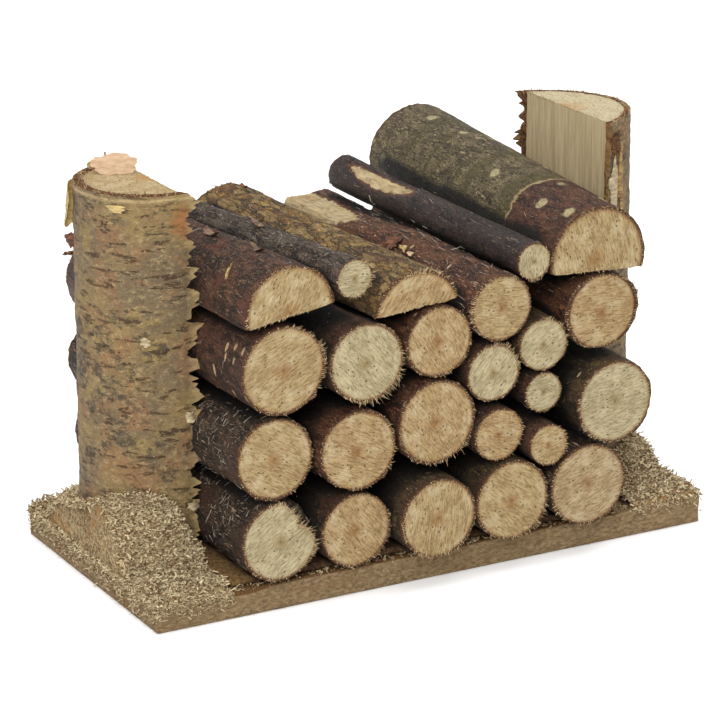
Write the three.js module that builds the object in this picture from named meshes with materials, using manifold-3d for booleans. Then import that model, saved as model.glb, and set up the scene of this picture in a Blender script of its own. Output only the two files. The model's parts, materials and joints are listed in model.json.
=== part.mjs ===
// A miniature firewood stack: sawn twigs glued up between two split-log posts on a fibreboard board.
// Millimetres, +Z up, +X along the row, -Y towards the sawn ends that face the front.
// The origin is the centre of the board's underside.
import * as THREE from "three";
import { mergeVertices } from "three/addons/utils/BufferGeometryUtils.js";
import Module from "manifold-3d";

const wasm = await Module();
wasm.setup();

// ---- Board ----
const BOARD_DEPTH = 41.5;
const BOARD_THICKNESS = 4;
const LEFT_MARGIN = 0.6; // board beyond the left post's bark
const RIGHT_MARGIN = 0.9; // board beyond the right post's bark

// ---- Posts: each is a log split lengthways, its flat face towards the pile ----
// side is -1 or 1 for the end of the row, y the middle of the flat face and skew how far out of square the
// sawn top is, in degrees.
const LEFT_POST = { side: -1, radius: 10.6, rise: 10.6, height: 52.6, skew: 2, bark: 1.2, y: 2.7 };
const RIGHT_POST = { side: 1, radius: 12.9, rise: 8.7, height: 53.8, skew: 3, bark: 0.8, y: 2.05 };
const BARK_SEAM = 0.3; // between a post's wood and its bark

// ---- Logs ----
const LOG_LENGTH = 53.5;
const GLUE_FILM = 0.2; // the glue under the bottom row
const SNUG = 0.35; // between the mean outlines of two logs that touch bark to bark
const LOG_LOBE = 0.01; // how far a log's outline wanders, as a share of its radius
const LOG_BOW = 0.12; // how far a log's middle stands off its straight line
const LOG_TAPER = 0.05; // the share of its radius that a log usually loses by its back end
const CUT_SLOPE = 0.03; // how far a sawn end is out of square, as a slope
const LOG_SIDES = 20;
const LOG_STEPS = 4;
const SLICE_SIDES = 160; // flats round the whole cylinder that a knife cut is part of

// ---- Glue and sawdust ----
const CLEAR = 0.3; // between glue or sawdust and what it surrounds
const GLUE_DEPTH = 1.3; // how high the glue stands between two bottom logs
const GLUE_INSET = 1; // from the board's front and back edges to the glue
const DUST_DEPTH = 0.8; // the sawdust over the board's ends
const DUST_INSET = 0.05; // from the board's edges to the sawdust
const DUST_SPILL = 1.5; // how far the right end's sawdust runs in front of the post's face
const DUST_STEP = 1.7; // spacing of the sawdust's surface points
// Sawdust heaped against a post's foot: its height in the direction towards, in degrees from +X, and at its
// lowest, how far it reaches out from the bark, and how far from the split face it thins out.
const LEFT_HEAP = { height: 9.2, least: 4, towards: -125, width: 5, thins: 3 };
const RIGHT_HEAP = { height: 3.4, least: 2.4, towards: -60, width: 4.5, thins: 0.5 };
const BEAD_LENGTH = 24; // a glue bead between logs, inside the pile
const BEAD_SETBACK = 14; // from the board's front edge to the beads

const FRONT = -BOARD_DEPTH / 2;
const BOARD_TOP = BOARD_THICKNESS;

// ---- Materials ----
const paint = (color, roughness) => new THREE.MeshStandardMaterial({ color, roughness, metalness: 0 });
const FIBREBOARD = paint(0x8d7350, 0.95);
const SPLIT_WOOD = paint(0xcdb48a, 0.85);
const PALE_BARK = paint(0xa3946c, 0.85);
const SAWDUST = paint(0xb59a6c, 1);
const GLUE = paint(0x6b3512, 0.25);
const BARKS = {
  redBrown: paint(0x553d34, 0.75),
  greyBrown: paint(0x5c5148, 0.85),
  olive: paint(0x6b6248, 0.8),
  darkBrown: paint(0x46352d, 0.75),
  greyGreen: paint(0x6f6a54, 0.75),
};

const group = new THREE.Group();

// Adds one named piece to the group.
function add(name, geometry, material) {
  const mesh = new THREE.Mesh(geometry, material.clone());
  mesh.name = name;
  group.add(mesh);
  return mesh;
}

// ---- Solids for cutting ----
function solidOf(geometry) {
  const bare = geometry.clone();
  bare.deleteAttribute("normal");
  bare.deleteAttribute("uv");
  const merged = mergeVertices(bare, 1e-3);
  const vertProperties = merged.attributes.position.array;
  const triVerts = new Uint32Array(merged.index.array);
  return new wasm.Manifold(new wasm.Mesh({ numProp: 3, vertProperties, triVerts }));
}

function geometryOf(solid) {
  const mesh = solid.getMesh();
  const geometry = new THREE.BufferGeometry();
  geometry.setAttribute("position", new THREE.Float32BufferAttribute(mesh.vertProperties, 3));
  geometry.setIndex(new THREE.Uint32BufferAttribute(mesh.triVerts, 1));
  return geometry;
}

// ---- Where the logs lie ----
// A log is { name, radius, flat, x, z }. x runs from the left post's face, z from the board's top.
// flat squashes the outline: a positive value makes it wider than it is high.
const reach = (log, angle) => log.radius * (1 + (log.flat ?? 0) * Math.cos(2 * angle));

// The centre distance at which two logs touch along the line at this angle.
const touching = (log, other, angle, gap) => reach(log, angle) + reach(other, angle) + gap;

// On the glue, beside the last log or the left post's face.
function onBoard(log, previous, gap = SNUG) {
  const z = GLUE_FILM + CLEAR + reach(log, Math.PI / 2);
  if (!previous) return { x: gap + reach(log, 0), z };
  const rise = z - previous.z;
  const apart = touching(log, previous, Math.atan2(rise, reach(log, 0) + reach(previous, 0)), gap);
  return { x: previous.x + Math.sqrt(apart ** 2 - rise ** 2), z };
}

// In the valley over two lower logs, the left one given first.
function inValley(log, left, right, leftGap = SNUG, rightGap = SNUG) {
  let place = { x: (left.x + right.x) / 2, z: Math.max(left.z, right.z) + log.radius };
  for (let round = 0; round < 12; round++) {
    const fromLeft = touching(log, left, Math.atan2(place.z - left.z, place.x - left.x), leftGap);
    const fromRight = touching(log, right, Math.atan2(place.z - right.z, place.x - right.x), rightGap);
    const span = Math.hypot(right.x - left.x, right.z - left.z);
    const along = (span ** 2 + fromLeft ** 2 - fromRight ** 2) / (2 * span);
    const up = Math.sqrt(fromLeft ** 2 - along ** 2);
    const ux = (right.x - left.x) / span;
    const uz = (right.z - left.z) / span;
    place = { x: left.x + ux * along - uz * up, z: left.z + uz * along + ux * up };
  }
  return place;
}

// Near the left post's face, on the log below.
function againstPost(log, below, postGap) {
  const x = postGap + reach(log, 0);
  const angle = Math.acos((x - below.x) / (log.radius + below.radius + SNUG));
  const apart = touching(log, below, angle, SNUG);
  return { x, z: below.z + Math.sqrt(apart ** 2 - (x - below.x) ** 2) };
}

// Glued to one neighbour, in the direction given in degrees from +X.
function fromLog(log, other, degrees, gap = SNUG) {
  const angle = THREE.MathUtils.degToRad(degrees);
  const apart = touching(log, other, angle, gap);
  return { x: other.x + apart * Math.cos(angle), z: other.z + apart * Math.sin(angle) };
}

// The same place, raised where a lower log would be in the way.
function liftedOff(place, log, lower) {
  const across = place.x - lower.x;
  const apart = touching(log, lower, Math.atan2(place.z - lower.z, across), SNUG);
  const least = lower.z + Math.sqrt(Math.max(0, apart ** 2 - across ** 2));
  return { x: place.x, z: Math.max(place.z, least) };
}

// A split log laid on a round one: its flat face touches the round log's top, and shift slides it right.
// x and z are the middle of the flat face.
function onTop(half, log, shift, gap = SNUG) {
  const tilt = THREE.MathUtils.degToRad(half.tilt);
  const lift = reach(log, Math.PI / 2 + tilt) + gap;
  return {
    x: log.x - lift * Math.sin(tilt) + shift * Math.cos(tilt),
    z: log.z + lift * Math.cos(tilt) + shift * Math.sin(tilt),
  };
}

// A split log's bark as a whole round log, for what leans on it.
function barkOf(half) {
  const tilt = THREE.MathUtils.degToRad(half.tilt);
  const up = half.rise - half.radius;
  return { radius: half.radius, x: half.x - up * Math.sin(tilt), z: half.z + up * Math.cos(tilt) };
}

// A split log laid on a round one, slid right until its bark is a gap away from a neighbour on its left.
function slidTo(half, log, neighbour, gap) {
  let shift = 0;
  for (let round = 0; round < 12; round++) {
    const bark = barkOf({ ...half, ...onTop(half, log, shift) });
    const up = bark.z - neighbour.z;
    const apart = touching(neighbour, bark, Math.atan2(up, bark.x - neighbour.x), gap);
    shift += neighbour.x + Math.sqrt(Math.max(0, apart ** 2 - up ** 2)) - bark.x;
  }
  return onTop(half, log, shift);
}

// ---- The logs ----
// radius is the front end's. taper is the share that the radius loses by the back end, proud how far the
// front end stands in front of the board, and extra what is added to the usual length. A split log also has a
// rise, its height over the flat face, the share fall that the rise loses by the back, and tilt, in degrees,
// which lifts its right side. seat places a log among those before it.
const LOGS = [
  {
    name: "log_a1", bark: "greyBrown", radius: 5.7, taper: 0.09, proud: 0.7,
    seat: (log) => onBoard(log, null, 1.4),
  },
  {
    name: "log_a2", bark: "darkBrown", radius: 5.4, taper: 0.05, proud: 1.1,
    seat: (log, at) => onBoard(log, at.log_a1),
  },
  {
    name: "log_a3", bark: "olive", radius: 5.8, flat: 0.02, taper: -0.02, proud: 3.4,
    seat: (log, at) => onBoard(log, at.log_a2),
  },
  {
    name: "log_a4", bark: "olive", radius: 5.8, taper: -0.02, proud: 2.6,
    seat: (log, at) => onBoard(log, at.log_a3),
  },
  {
    name: "log_a5", bark: "greyBrown", radius: 6, taper: 0, proud: 2.8,
    seat: (log, at) => onBoard(log, at.log_a4),
  },

  {
    name: "log_b1", bark: "greyBrown", radius: 5.8, taper: 0.09, proud: 0.2,
    seat: (log, at) => againstPost(log, at.log_a1, 0.8),
  },
  {
    name: "log_b2", bark: "greyBrown", radius: 5.8, taper: 0.05, proud: 1.3,
    seat: (log, at) => fromLog(log, at.log_a2, 89),
  },
  {
    name: "log_b3", bark: "redBrown", radius: 6.05, taper: -0.02, proud: 1.6,
    seat: (log, at) => fromLog(log, at.log_b2, 10),
  },
  {
    name: "log_b4", bark: "darkBrown", radius: 3.85, taper: -0.05, proud: 2,
    seat: (log, at) => inValley(log, at.log_b3, at.log_a4),
  },
  {
    name: "log_b5", bark: "darkBrown", radius: 3, taper: 0, proud: 3.2,
    seat: (log, at) => fromLog(log, at.log_a4, 54),
  },

  {
    name: "log_c1", bark: "redBrown", radius: 6.35, taper: 0.09, proud: 0.3, extra: 2,
    seat: (log, at) => againstPost(log, at.log_b1, 1.6),
  },
  {
    name: "log_c2", bark: "darkBrown", radius: 5.6, taper: 0.07, proud: 1,
    seat: (log, at) => inValley(log, at.log_c1, at.log_b2, SNUG, 1),
  },
  {
    name: "log_c3", bark: "greyBrown", radius: 5.1, taper: 0.08, proud: 1.4,
    seat: (log, at) => inValley(log, at.log_c2, at.log_b3),
  },
  {
    name: "log_c4", bark: "greyBrown", radius: 4.15, taper: 0, proud: 1.4,
    seat: (log, at) => inValley(log, at.log_b3, at.log_b4, SNUG, 1),
  },
  {
    name: "log_c6", bark: "olive", radius: 3.8, taper: -0.16, proud: 1.6,
    seat: (log, at) => fromLog(log, at.log_c4, 20),
  },
  {
    name: "log_c5", bark: "darkBrown", radius: 2.9, taper: 0, proud: 1.4,
    seat: (log, at) => fromLog(log, at.log_c6, -88),
  },
  {
    name: "log_c7", bark: "greyBrown", radius: 6, taper: 0, proud: 3,
    seat: (log, at) => fromLog(log, at.log_a5, 71),
  },

  {
    name: "log_d1", bark: "darkBrown", radius: 6.7, rise: 7.2, fall: 0.3, tilt: 8.6, proud: 0.5,
    seat: (half, at) => onTop(half, at.log_c1, 2.2, 1),
  },
  {
    name: "log_d2", bark: "greyBrown", radius: 2.75, taper: 0.12, proud: 1,
    seat: (log, at) => liftedOff(fromLog(log, barkOf(at.log_d1), 20, 0.6), log, at.log_c2),
  },
  {
    name: "log_d3", bark: "olive", radius: 6.7, rise: 5.3, fall: 0.12, tilt: 4.4, proud: 1,
    seat: (half, at) => slidTo(half, at.log_c3, at.log_d2, 2.6 - 2.2 * half.share),
  },
  {
    name: "log_d4", bark: "redBrown", radius: 4.75, taper: 0.12, proud: 1.5,
    seat: (log, at) => inValley(log, at.log_c3, at.log_c4, SNUG + 1.8 * log.share),
  },
  {
    name: "log_d5", bark: "redBrown", radius: 5.7, flat: 0.05, taper: 0, proud: 1.3,
    seat: (log, at) => fromLog(log, at.log_c6, 19),
  },
  {
    name: "log_e1", bark: "redBrown", radius: 2.65, taper: 0, proud: 1.6, extra: -2,
    seat: (log, at) => fromLog(log, at.log_d4, 50 - 5 * log.share),
  },
  {
    name: "log_e2", bark: "greyGreen", radius: 7.6, rise: 9.3, taper: 0, fall: 0, tilt: -3.7, proud: 1,
    seat: (half, at) => slidTo(half, at.log_d5, at.log_e1, SNUG + 2.6 * half.share),
  },
];

// Pale places where a knife took bark and wood off a log's upper side: middle is the share of the way to the
// back end, run the length and depth the depth there.
const SLICES = [
  { log: "log_d4", middle: 1, run: 56, depth: 2 },
  { log: "log_e1", middle: 0.79, run: 21, depth: 0.9 },
];

// Every log at one end of the pile, by name: share is 0 at the front and 1 at the back.
function pileAt(share) {
  const placed = {};
  for (const log of LOGS) {
    const here = { ...log, share, radius: log.radius * (1 - (log.taper ?? LOG_TAPER) * share) };
    if (log.rise) here.rise = log.rise * (1 - log.fall * share);
    placed[log.name] = Object.assign(here, log.seat(here, placed));
  }
  return placed;
}
const frontEnds = pileAt(0);
const backEnds = pileAt(1);
const roundLogs = LOGS.filter((log) => !log.rise);

// ---- Along the row: the right post stands against the widest row, and the board runs under both ----
const POST_GAP = 0.5; // between the logs and the right post's face
const ends = [...Object.values(frontEnds), ...Object.values(backEnds)]
  .map((log) => (log.rise ? barkOf(log) : log));
const rowEnd = Math.max(...ends.map((log) => log.x + reach(log, 0))) + POST_GAP;
const leftEdge = -LEFT_POST.rise - LEFT_MARGIN;
const rightEdge = rowEnd + RIGHT_POST.rise + RIGHT_MARGIN;
const BOARD_LENGTH = rightEdge - leftEdge;
const ROW_START = -(leftEdge + rightEdge) / 2; // the left post's face, from the board's middle

function buildBoard() {
  const outline = new THREE.Shape();
  outline.moveTo(-BOARD_LENGTH / 2, FRONT);
  outline.lineTo(BOARD_LENGTH / 2, FRONT);
  outline.lineTo(BOARD_LENGTH / 2, -FRONT);
  outline.lineTo(-BOARD_LENGTH / 2, -FRONT);
  return new THREE.ExtrudeGeometry(outline, { depth: BOARD_THICKNESS, bevelEnabled: false });
}

// ---- Post shapes: the flat face on the Y axis, the curve towards side, which is 1 for +X or -1 for -X ----
const POST_CURVE_STEPS = 14;

// Points along the curve, from the front edge of the flat face to its back edge.
function arcPoints(radius, rise, side) {
  const half = Math.acos((radius - rise) / radius);
  const points = [];
  for (let i = 0; i <= POST_CURVE_STEPS; i++) {
    const angle = -half + (2 * half * i) / POST_CURVE_STEPS;
    const out = rise - radius + radius * Math.cos(angle);
    points.push(new THREE.Vector2(side * out, radius * Math.sin(angle)));
  }
  return points;
}

// Stands an outline up on the board. The sawn top slopes down to the back by skew degrees.
function upright(points, post) {
  const shape = new THREE.Shape(points);
  const geometry = new THREE.ExtrudeGeometry(shape, { depth: post.height, bevelEnabled: false, steps: 3 });
  const slope = Math.tan(THREE.MathUtils.degToRad(post.skew));
  const place = geometry.attributes.position;
  for (let i = 0; i < place.count; i++) {
    const share = place.getZ(i) / post.height;
    place.setZ(i, place.getZ(i) - share * slope * (place.getY(i) + post.radius));
  }
  return geometry.translate(faceOf(post), post.y, BOARD_TOP);
}

const faceOf = (post) => ROW_START + (post.side > 0 ? rowEnd : 0);

const shrunk = (post, by) => arcPoints(post.radius - by, post.rise - by, post.side);

const buildPostWood = (post) => upright(shrunk(post, post.bark + BARK_SEAM), post);

const buildPostBark = (post) => upright([...shrunk(post, 0), ...shrunk(post, post.bark).reverse()], post);

// A whole post grown by the clearance, for cutting the sawdust round it.
function postCutter(post) {
  const points = shrunk(post, -CLEAR);
  const beyond = -CLEAR * post.side;
  points.push(new THREE.Vector2(beyond, points[points.length - 1].y));
  points.push(new THREE.Vector2(beyond, points[0].y));
  return upright(points, { ...post, skew: 0 });
}

// ---- Log shapes ----
// A number from -1 to 1 that belongs to a name and a use of it.
function quirk(name, use) {
  let sum = use * 7919;
  for (const letter of name) sum = (sum * 31 + letter.charCodeAt(0)) % 65521;
  return Math.sin(sum) * Math.cos(sum * 3.7);
}

const lengthOf = (log) => LOG_LENGTH + (log.extra ?? 0);

// Where a point of a log lies at a share of the way to its back end: x and z of the log's own middle.
function middleAt(log, share) {
  const [front, back] = [frontEnds[log.name], backEnds[log.name]];
  return {
    x: ROW_START + THREE.MathUtils.lerp(front.x, back.x, share),
    y: FRONT - log.proud + share * lengthOf(log),
    z: BOARD_TOP + THREE.MathUtils.lerp(front.z, back.z, share),
    scale: THREE.MathUtils.lerp(1, back.radius / front.radius, share),
  };
}

// A round twig from front to back. grow adds to its radius and over to each end, to cut glue and sawdust.
function twig(log, grow = 0, over = 0) {
  const geometry = new THREE.CylinderGeometry(1, 1, 1, LOG_SIDES, LOG_STEPS);
  const place = geometry.attributes.position;
  for (let i = 0; i < place.count; i++) {
    const share = place.getY(i) + 0.5;
    const side = Math.round((Math.atan2(place.getZ(i), place.getX(i)) * LOG_SIDES) / (2 * Math.PI));
    const spin = (((side + LOG_SIDES) % LOG_SIDES) * 2 * Math.PI) / LOG_SIDES;
    const onRim = Math.round(Math.hypot(place.getX(i), place.getZ(i)));
    const middle = middleAt(log, share);
    const lobe = LOG_LOBE * log.radius * Math.sin(3 * spin + 6 * quirk(log.name, 1));
    const radius = onRim * (middle.scale * (reach(log, spin) + lobe) + grow);
    const bow = Math.sin(Math.PI * share) * LOG_BOW;
    const x = radius * Math.cos(spin);
    const z = radius * Math.sin(spin);
    const slope = CUT_SLOPE * (1 - share) * (quirk(log.name, 2) * x + quirk(log.name, 3) * z);
    const y = middle.y + slope + over * (2 * share - 1);
    place.setXYZ(i, middle.x + x + bow * quirk(log.name, 4), y, middle.z + z + bow * quirk(log.name, 5));
  }
  return geometry;
}

// The knife's path over a log: part of a large cylinder that lies across it.
function sliceCutter(slice) {
  const log = LOGS.find((entry) => entry.name === slice.log);
  const middle = middleAt(log, slice.middle);
  const radius = slice.run ** 2 / (8 * slice.depth);
  const width = 4 * log.radius;
  const top = middle.z + log.radius * middle.scale;
  const geometry = new THREE.CylinderGeometry(radius, radius, width, SLICE_SIDES).rotateZ(Math.PI / 2);
  return solidOf(geometry.translate(middle.x, middle.y, top - slice.depth + radius));
}

// A round log as it lies in the pile, with its knife cuts.
function buildRoundLog(log) {
  const cuts = SLICES.filter((slice) => slice.log === log.name).map(sliceCutter);
  if (cuts.length === 0) return twig(log);
  return geometryOf(cuts.reduce((solid, cut) => solid.subtract(cut), solidOf(twig(log))));
}

// A split log from front to back, its flat face below.
function splitTwig(half) {
  const outline = arcPoints(half.radius, half.rise, 1).map((point) => new THREE.Vector2(-point.y, point.x));
  const shape = new THREE.Shape(outline);
  const geometry = new THREE.ExtrudeGeometry(shape, { depth: 1, bevelEnabled: false, steps: LOG_STEPS });
  const tilt = THREE.MathUtils.degToRad(half.tilt);
  const place = geometry.attributes.position;
  for (let i = 0; i < place.count; i++) {
    const share = 1 - place.getZ(i);
    const middle = middleAt(half, share);
    const across = place.getX(i) * middle.scale;
    const up = place.getY(i) * (1 - half.fall * share);
    const x = middle.x + across * Math.cos(tilt) - up * Math.sin(tilt);
    place.setXYZ(i, x, middle.y, middle.z + across * Math.sin(tilt) + up * Math.cos(tilt));
  }
  return geometry;
}

// ---- Glue beads inside the pile, each filling the space between neighbours ----
const BEADS = [
  { name: "glue_bead_1", between: ["log_a1", "log_a2", "log_b1", "log_b2"], radius: 3 },
  { name: "glue_bead_2", between: ["log_a3", "log_a2", "log_b2", "log_b3"], radius: 3 },
  { name: "glue_bead_3", between: ["log_a3", "log_a4", "log_b3", "log_b4"], radius: 2.4 },
  { name: "glue_bead_4", between: ["log_b1", "log_b2", "log_c1", "log_c2"], radius: 3 },
  { name: "glue_bead_5", between: ["log_b2", "log_b3", "log_c2", "log_c3"], radius: 2.6 },
  { name: "glue_bead_6", between: ["log_b3", "log_c3", "log_c4"], radius: 2.4 },
  { name: "glue_bead_7", between: ["log_c5", "log_c4", "log_b4", "log_b5"], radius: 3.2 },
  { name: "glue_bead_8", between: ["log_c5", "log_c6", "log_c7", "log_b5"], radius: 3.4 },
];

// Cuts the logs, grown by the clearance, out of a piece of glue or sawdust.
function clearOfLogs(solid) {
  return roundLogs.reduce((left, log) => left.subtract(solidOf(twig(log, CLEAR, 1))), solid);
}

function buildBead(bead) {
  const near = bead.between.map((name) => frontEnds[name]);
  const x = near.reduce((sum, log) => sum + log.x, 0) / near.length;
  const z = near.reduce((sum, log) => sum + log.z, 0) / near.length;
  const rod = new THREE.CylinderGeometry(bead.radius, bead.radius, BEAD_LENGTH, 12, 1);
  rod.translate(ROW_START + x, FRONT + BEAD_SETBACK + BEAD_LENGTH / 2, BOARD_TOP + z);
  return geometryOf(clearOfLogs(solidOf(rod)));
}

// A box from one corner to the other, in the part's frame.
function slab(low, high, stepsX = 1, stepsY = 1) {
  const size = high.map((value, axis) => value - low[axis]);
  const geometry = new THREE.BoxGeometry(...size, stepsX, stepsY, 1);
  return geometry.translate(...high.map((value, axis) => (value + low[axis]) / 2));
}

// The glue that the bottom row is bedded in, standing a little higher between the logs.
function buildGlueBed() {
  const low = [ROW_START + CLEAR, FRONT + GLUE_INSET, BOARD_TOP];
  const high = [ROW_START + frontEnds.log_a5.x, -FRONT - GLUE_INSET, BOARD_TOP + GLUE_DEPTH];
  return geometryOf(clearOfLogs(solidOf(slab(low, high))));
}

// Glue that squeezed out by the last bottom log: right is from that log's middle, up from the board's top.
const DROPS = [
  { name: "glue_drop_low", right: 4.1, up: 0.7, back: 1.3, size: [1.5, 1.2, 1.2] },
  { name: "glue_drop_high", right: 7.1, up: 3.4, back: 1.6, size: [0.75, 0.9, 2.4] },
];

function buildDrop(drop) {
  const log = frontEnds.log_a5;
  const ball = new THREE.SphereGeometry(1, 16, 12).scale(...drop.size);
  ball.translate(ROW_START + log.x + drop.right, FRONT + drop.back, BOARD_TOP + drop.up);
  const room = slab([-BOARD_LENGTH, -BOARD_DEPTH, BOARD_TOP], [BOARD_LENGTH, BOARD_DEPTH, 2 * BOARD_DEPTH]);
  return geometryOf(clearOfLogs(solidOf(ball).intersect(solidOf(room))));
}

// Sawdust over one end of the board, heaped against the post.
function buildSawdust(lowX, highX, post, heap) {
  const low = [lowX, FRONT + DUST_INSET, BOARD_TOP];
  const high = [highX, -FRONT - DUST_INSET, BOARD_TOP + DUST_DEPTH];
  const steps = [0, 1].map((axis) => Math.round((high[axis] - low[axis]) / DUST_STEP));
  const geometry = slab(low, high, ...steps);
  const centre = faceOf(post) + post.side * (post.rise - post.radius);
  const place = geometry.attributes.position;
  for (let i = 0; i < place.count; i++) {
    if (place.getZ(i) < BOARD_TOP + DUST_DEPTH / 2) continue;
    const x = place.getX(i) - centre;
    const y = place.getY(i) - post.y;
    const away = Math.max(0, Math.hypot(x, y) - post.radius) / heap.width;
    const facing = Math.max(0, Math.cos(Math.atan2(y, x) - THREE.MathUtils.degToRad(heap.towards)));
    const behind = Math.max(0, post.side * (place.getX(i) - faceOf(post)));
    const top = heap.least + (heap.height - heap.least) * facing ** 2;
    const thin = Math.sqrt(Math.min(1, behind / heap.thins));
    const heaped = away < 1 ? top * thin * Math.sqrt(1 - away ** 2) : 0;
    place.setZ(i, BOARD_TOP + DUST_DEPTH + heaped);
  }
  return geometryOf(clearOfLogs(solidOf(geometry).subtract(solidOf(postCutter(post)))));
}

function buildLeftSawdust() {
  return buildSawdust(DUST_INSET - BOARD_LENGTH / 2, ROW_START - CLEAR, LEFT_POST, LEFT_HEAP);
}

function buildRightSawdust() {
  const start = ROW_START + rowEnd - DUST_SPILL;
  return buildSawdust(start, BOARD_LENGTH / 2 - DUST_INSET, RIGHT_POST, RIGHT_HEAP);
}

add("base_board", buildBoard(), FIBREBOARD);
add("left_post_wood", buildPostWood(LEFT_POST), SPLIT_WOOD);
add("left_post_bark", buildPostBark(LEFT_POST), PALE_BARK);
add("right_post_wood", buildPostWood(RIGHT_POST), SPLIT_WOOD);
add("right_post_bark", buildPostBark(RIGHT_POST), PALE_BARK);
for (const log of LOGS) add(log.name, log.rise ? splitTwig(log) : buildRoundLog(log), BARKS[log.bark]);
add("glue_bed", buildGlueBed(), GLUE);
for (const bead of BEADS) add(bead.name, buildBead(bead), GLUE);
for (const drop of DROPS) add(drop.name, buildDrop(drop), GLUE);
add("sawdust_left", buildLeftSawdust(), SAWDUST);
add("sawdust_right", buildRightSawdust(), SAWDUST);

export default group;
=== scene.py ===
import json
import math

import bpy
import numpy as np
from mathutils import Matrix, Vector
from mathutils.bvhtree import BVHTree


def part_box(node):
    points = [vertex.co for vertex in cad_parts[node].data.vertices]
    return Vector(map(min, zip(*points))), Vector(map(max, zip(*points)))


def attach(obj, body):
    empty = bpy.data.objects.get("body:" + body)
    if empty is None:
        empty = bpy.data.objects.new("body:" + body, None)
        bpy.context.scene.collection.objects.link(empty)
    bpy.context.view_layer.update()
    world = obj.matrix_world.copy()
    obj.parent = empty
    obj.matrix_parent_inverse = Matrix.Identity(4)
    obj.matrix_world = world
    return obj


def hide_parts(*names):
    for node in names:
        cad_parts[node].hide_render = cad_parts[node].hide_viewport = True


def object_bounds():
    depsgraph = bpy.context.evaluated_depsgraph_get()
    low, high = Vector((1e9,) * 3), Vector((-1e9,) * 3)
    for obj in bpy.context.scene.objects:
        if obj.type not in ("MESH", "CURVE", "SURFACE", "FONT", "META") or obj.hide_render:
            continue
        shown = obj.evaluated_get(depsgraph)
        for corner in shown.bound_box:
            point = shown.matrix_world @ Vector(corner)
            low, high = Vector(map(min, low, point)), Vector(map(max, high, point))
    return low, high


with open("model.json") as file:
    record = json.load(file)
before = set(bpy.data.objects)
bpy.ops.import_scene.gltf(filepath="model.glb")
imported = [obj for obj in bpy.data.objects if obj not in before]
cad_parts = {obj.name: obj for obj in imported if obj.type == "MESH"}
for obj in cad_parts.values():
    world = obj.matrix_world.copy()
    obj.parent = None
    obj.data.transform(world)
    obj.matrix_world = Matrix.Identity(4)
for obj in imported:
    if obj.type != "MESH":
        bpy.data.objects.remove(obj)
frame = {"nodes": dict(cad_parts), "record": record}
cad_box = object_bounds()
MM = 0.001  # shapes are worked out in millimetres and stored in metres


# ---- Repeatable chance ----
def chance(seed):
    return np.random.default_rng(seed)


def cell_value(cells, seed):
    """A number from 0 to 1 for each whole-numbered cell of space."""
    key = cells[..., 0] * 73856093 ^ cells[..., 1] * 19349663 ^ cells[..., 2] * 83492791 ^ seed * 2654435761
    key = ((key ^ (key >> 15)) * 2246822519) & 0xFFFFFFFF
    key = ((key ^ (key >> 13)) * 3266489917) & 0xFFFFFFFF
    return ((key ^ (key >> 16)) & 0xFFFFFF) / 0xFFFFFF


def lumps(points, size, seed):
    """Smooth bumps from -1 to 1 over points. size is their spacing in mm, one number or three."""
    spot = points / np.asarray(size, float)
    cell = np.floor(spot).astype(np.int64)
    part = spot - cell
    part = part * part * (3 - 2 * part)
    total = np.zeros(points.shape[:-1])
    for corner in np.ndindex(2, 2, 2):
        weight = np.prod(np.where(corner, part, 1 - part), axis=-1)
        total += weight * cell_value(cell + np.array(corner), seed)
    return 2 * total - 1


# ---- Meshes ----
def grid_faces(rows, columns, closed=False):
    """Four-sided faces between the points of a grid, joined round where closed."""
    wide = columns if closed else columns - 1
    row, column = np.meshgrid(np.arange(rows - 1), np.arange(wide), indexing="ij")
    beside = (column + 1) % columns
    corners = [
        row * columns + column, row * columns + beside, (row + 1) * columns + beside,
        (row + 1) * columns + column,
    ]
    return np.stack(corners, -1).reshape(-1, 4)


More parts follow.
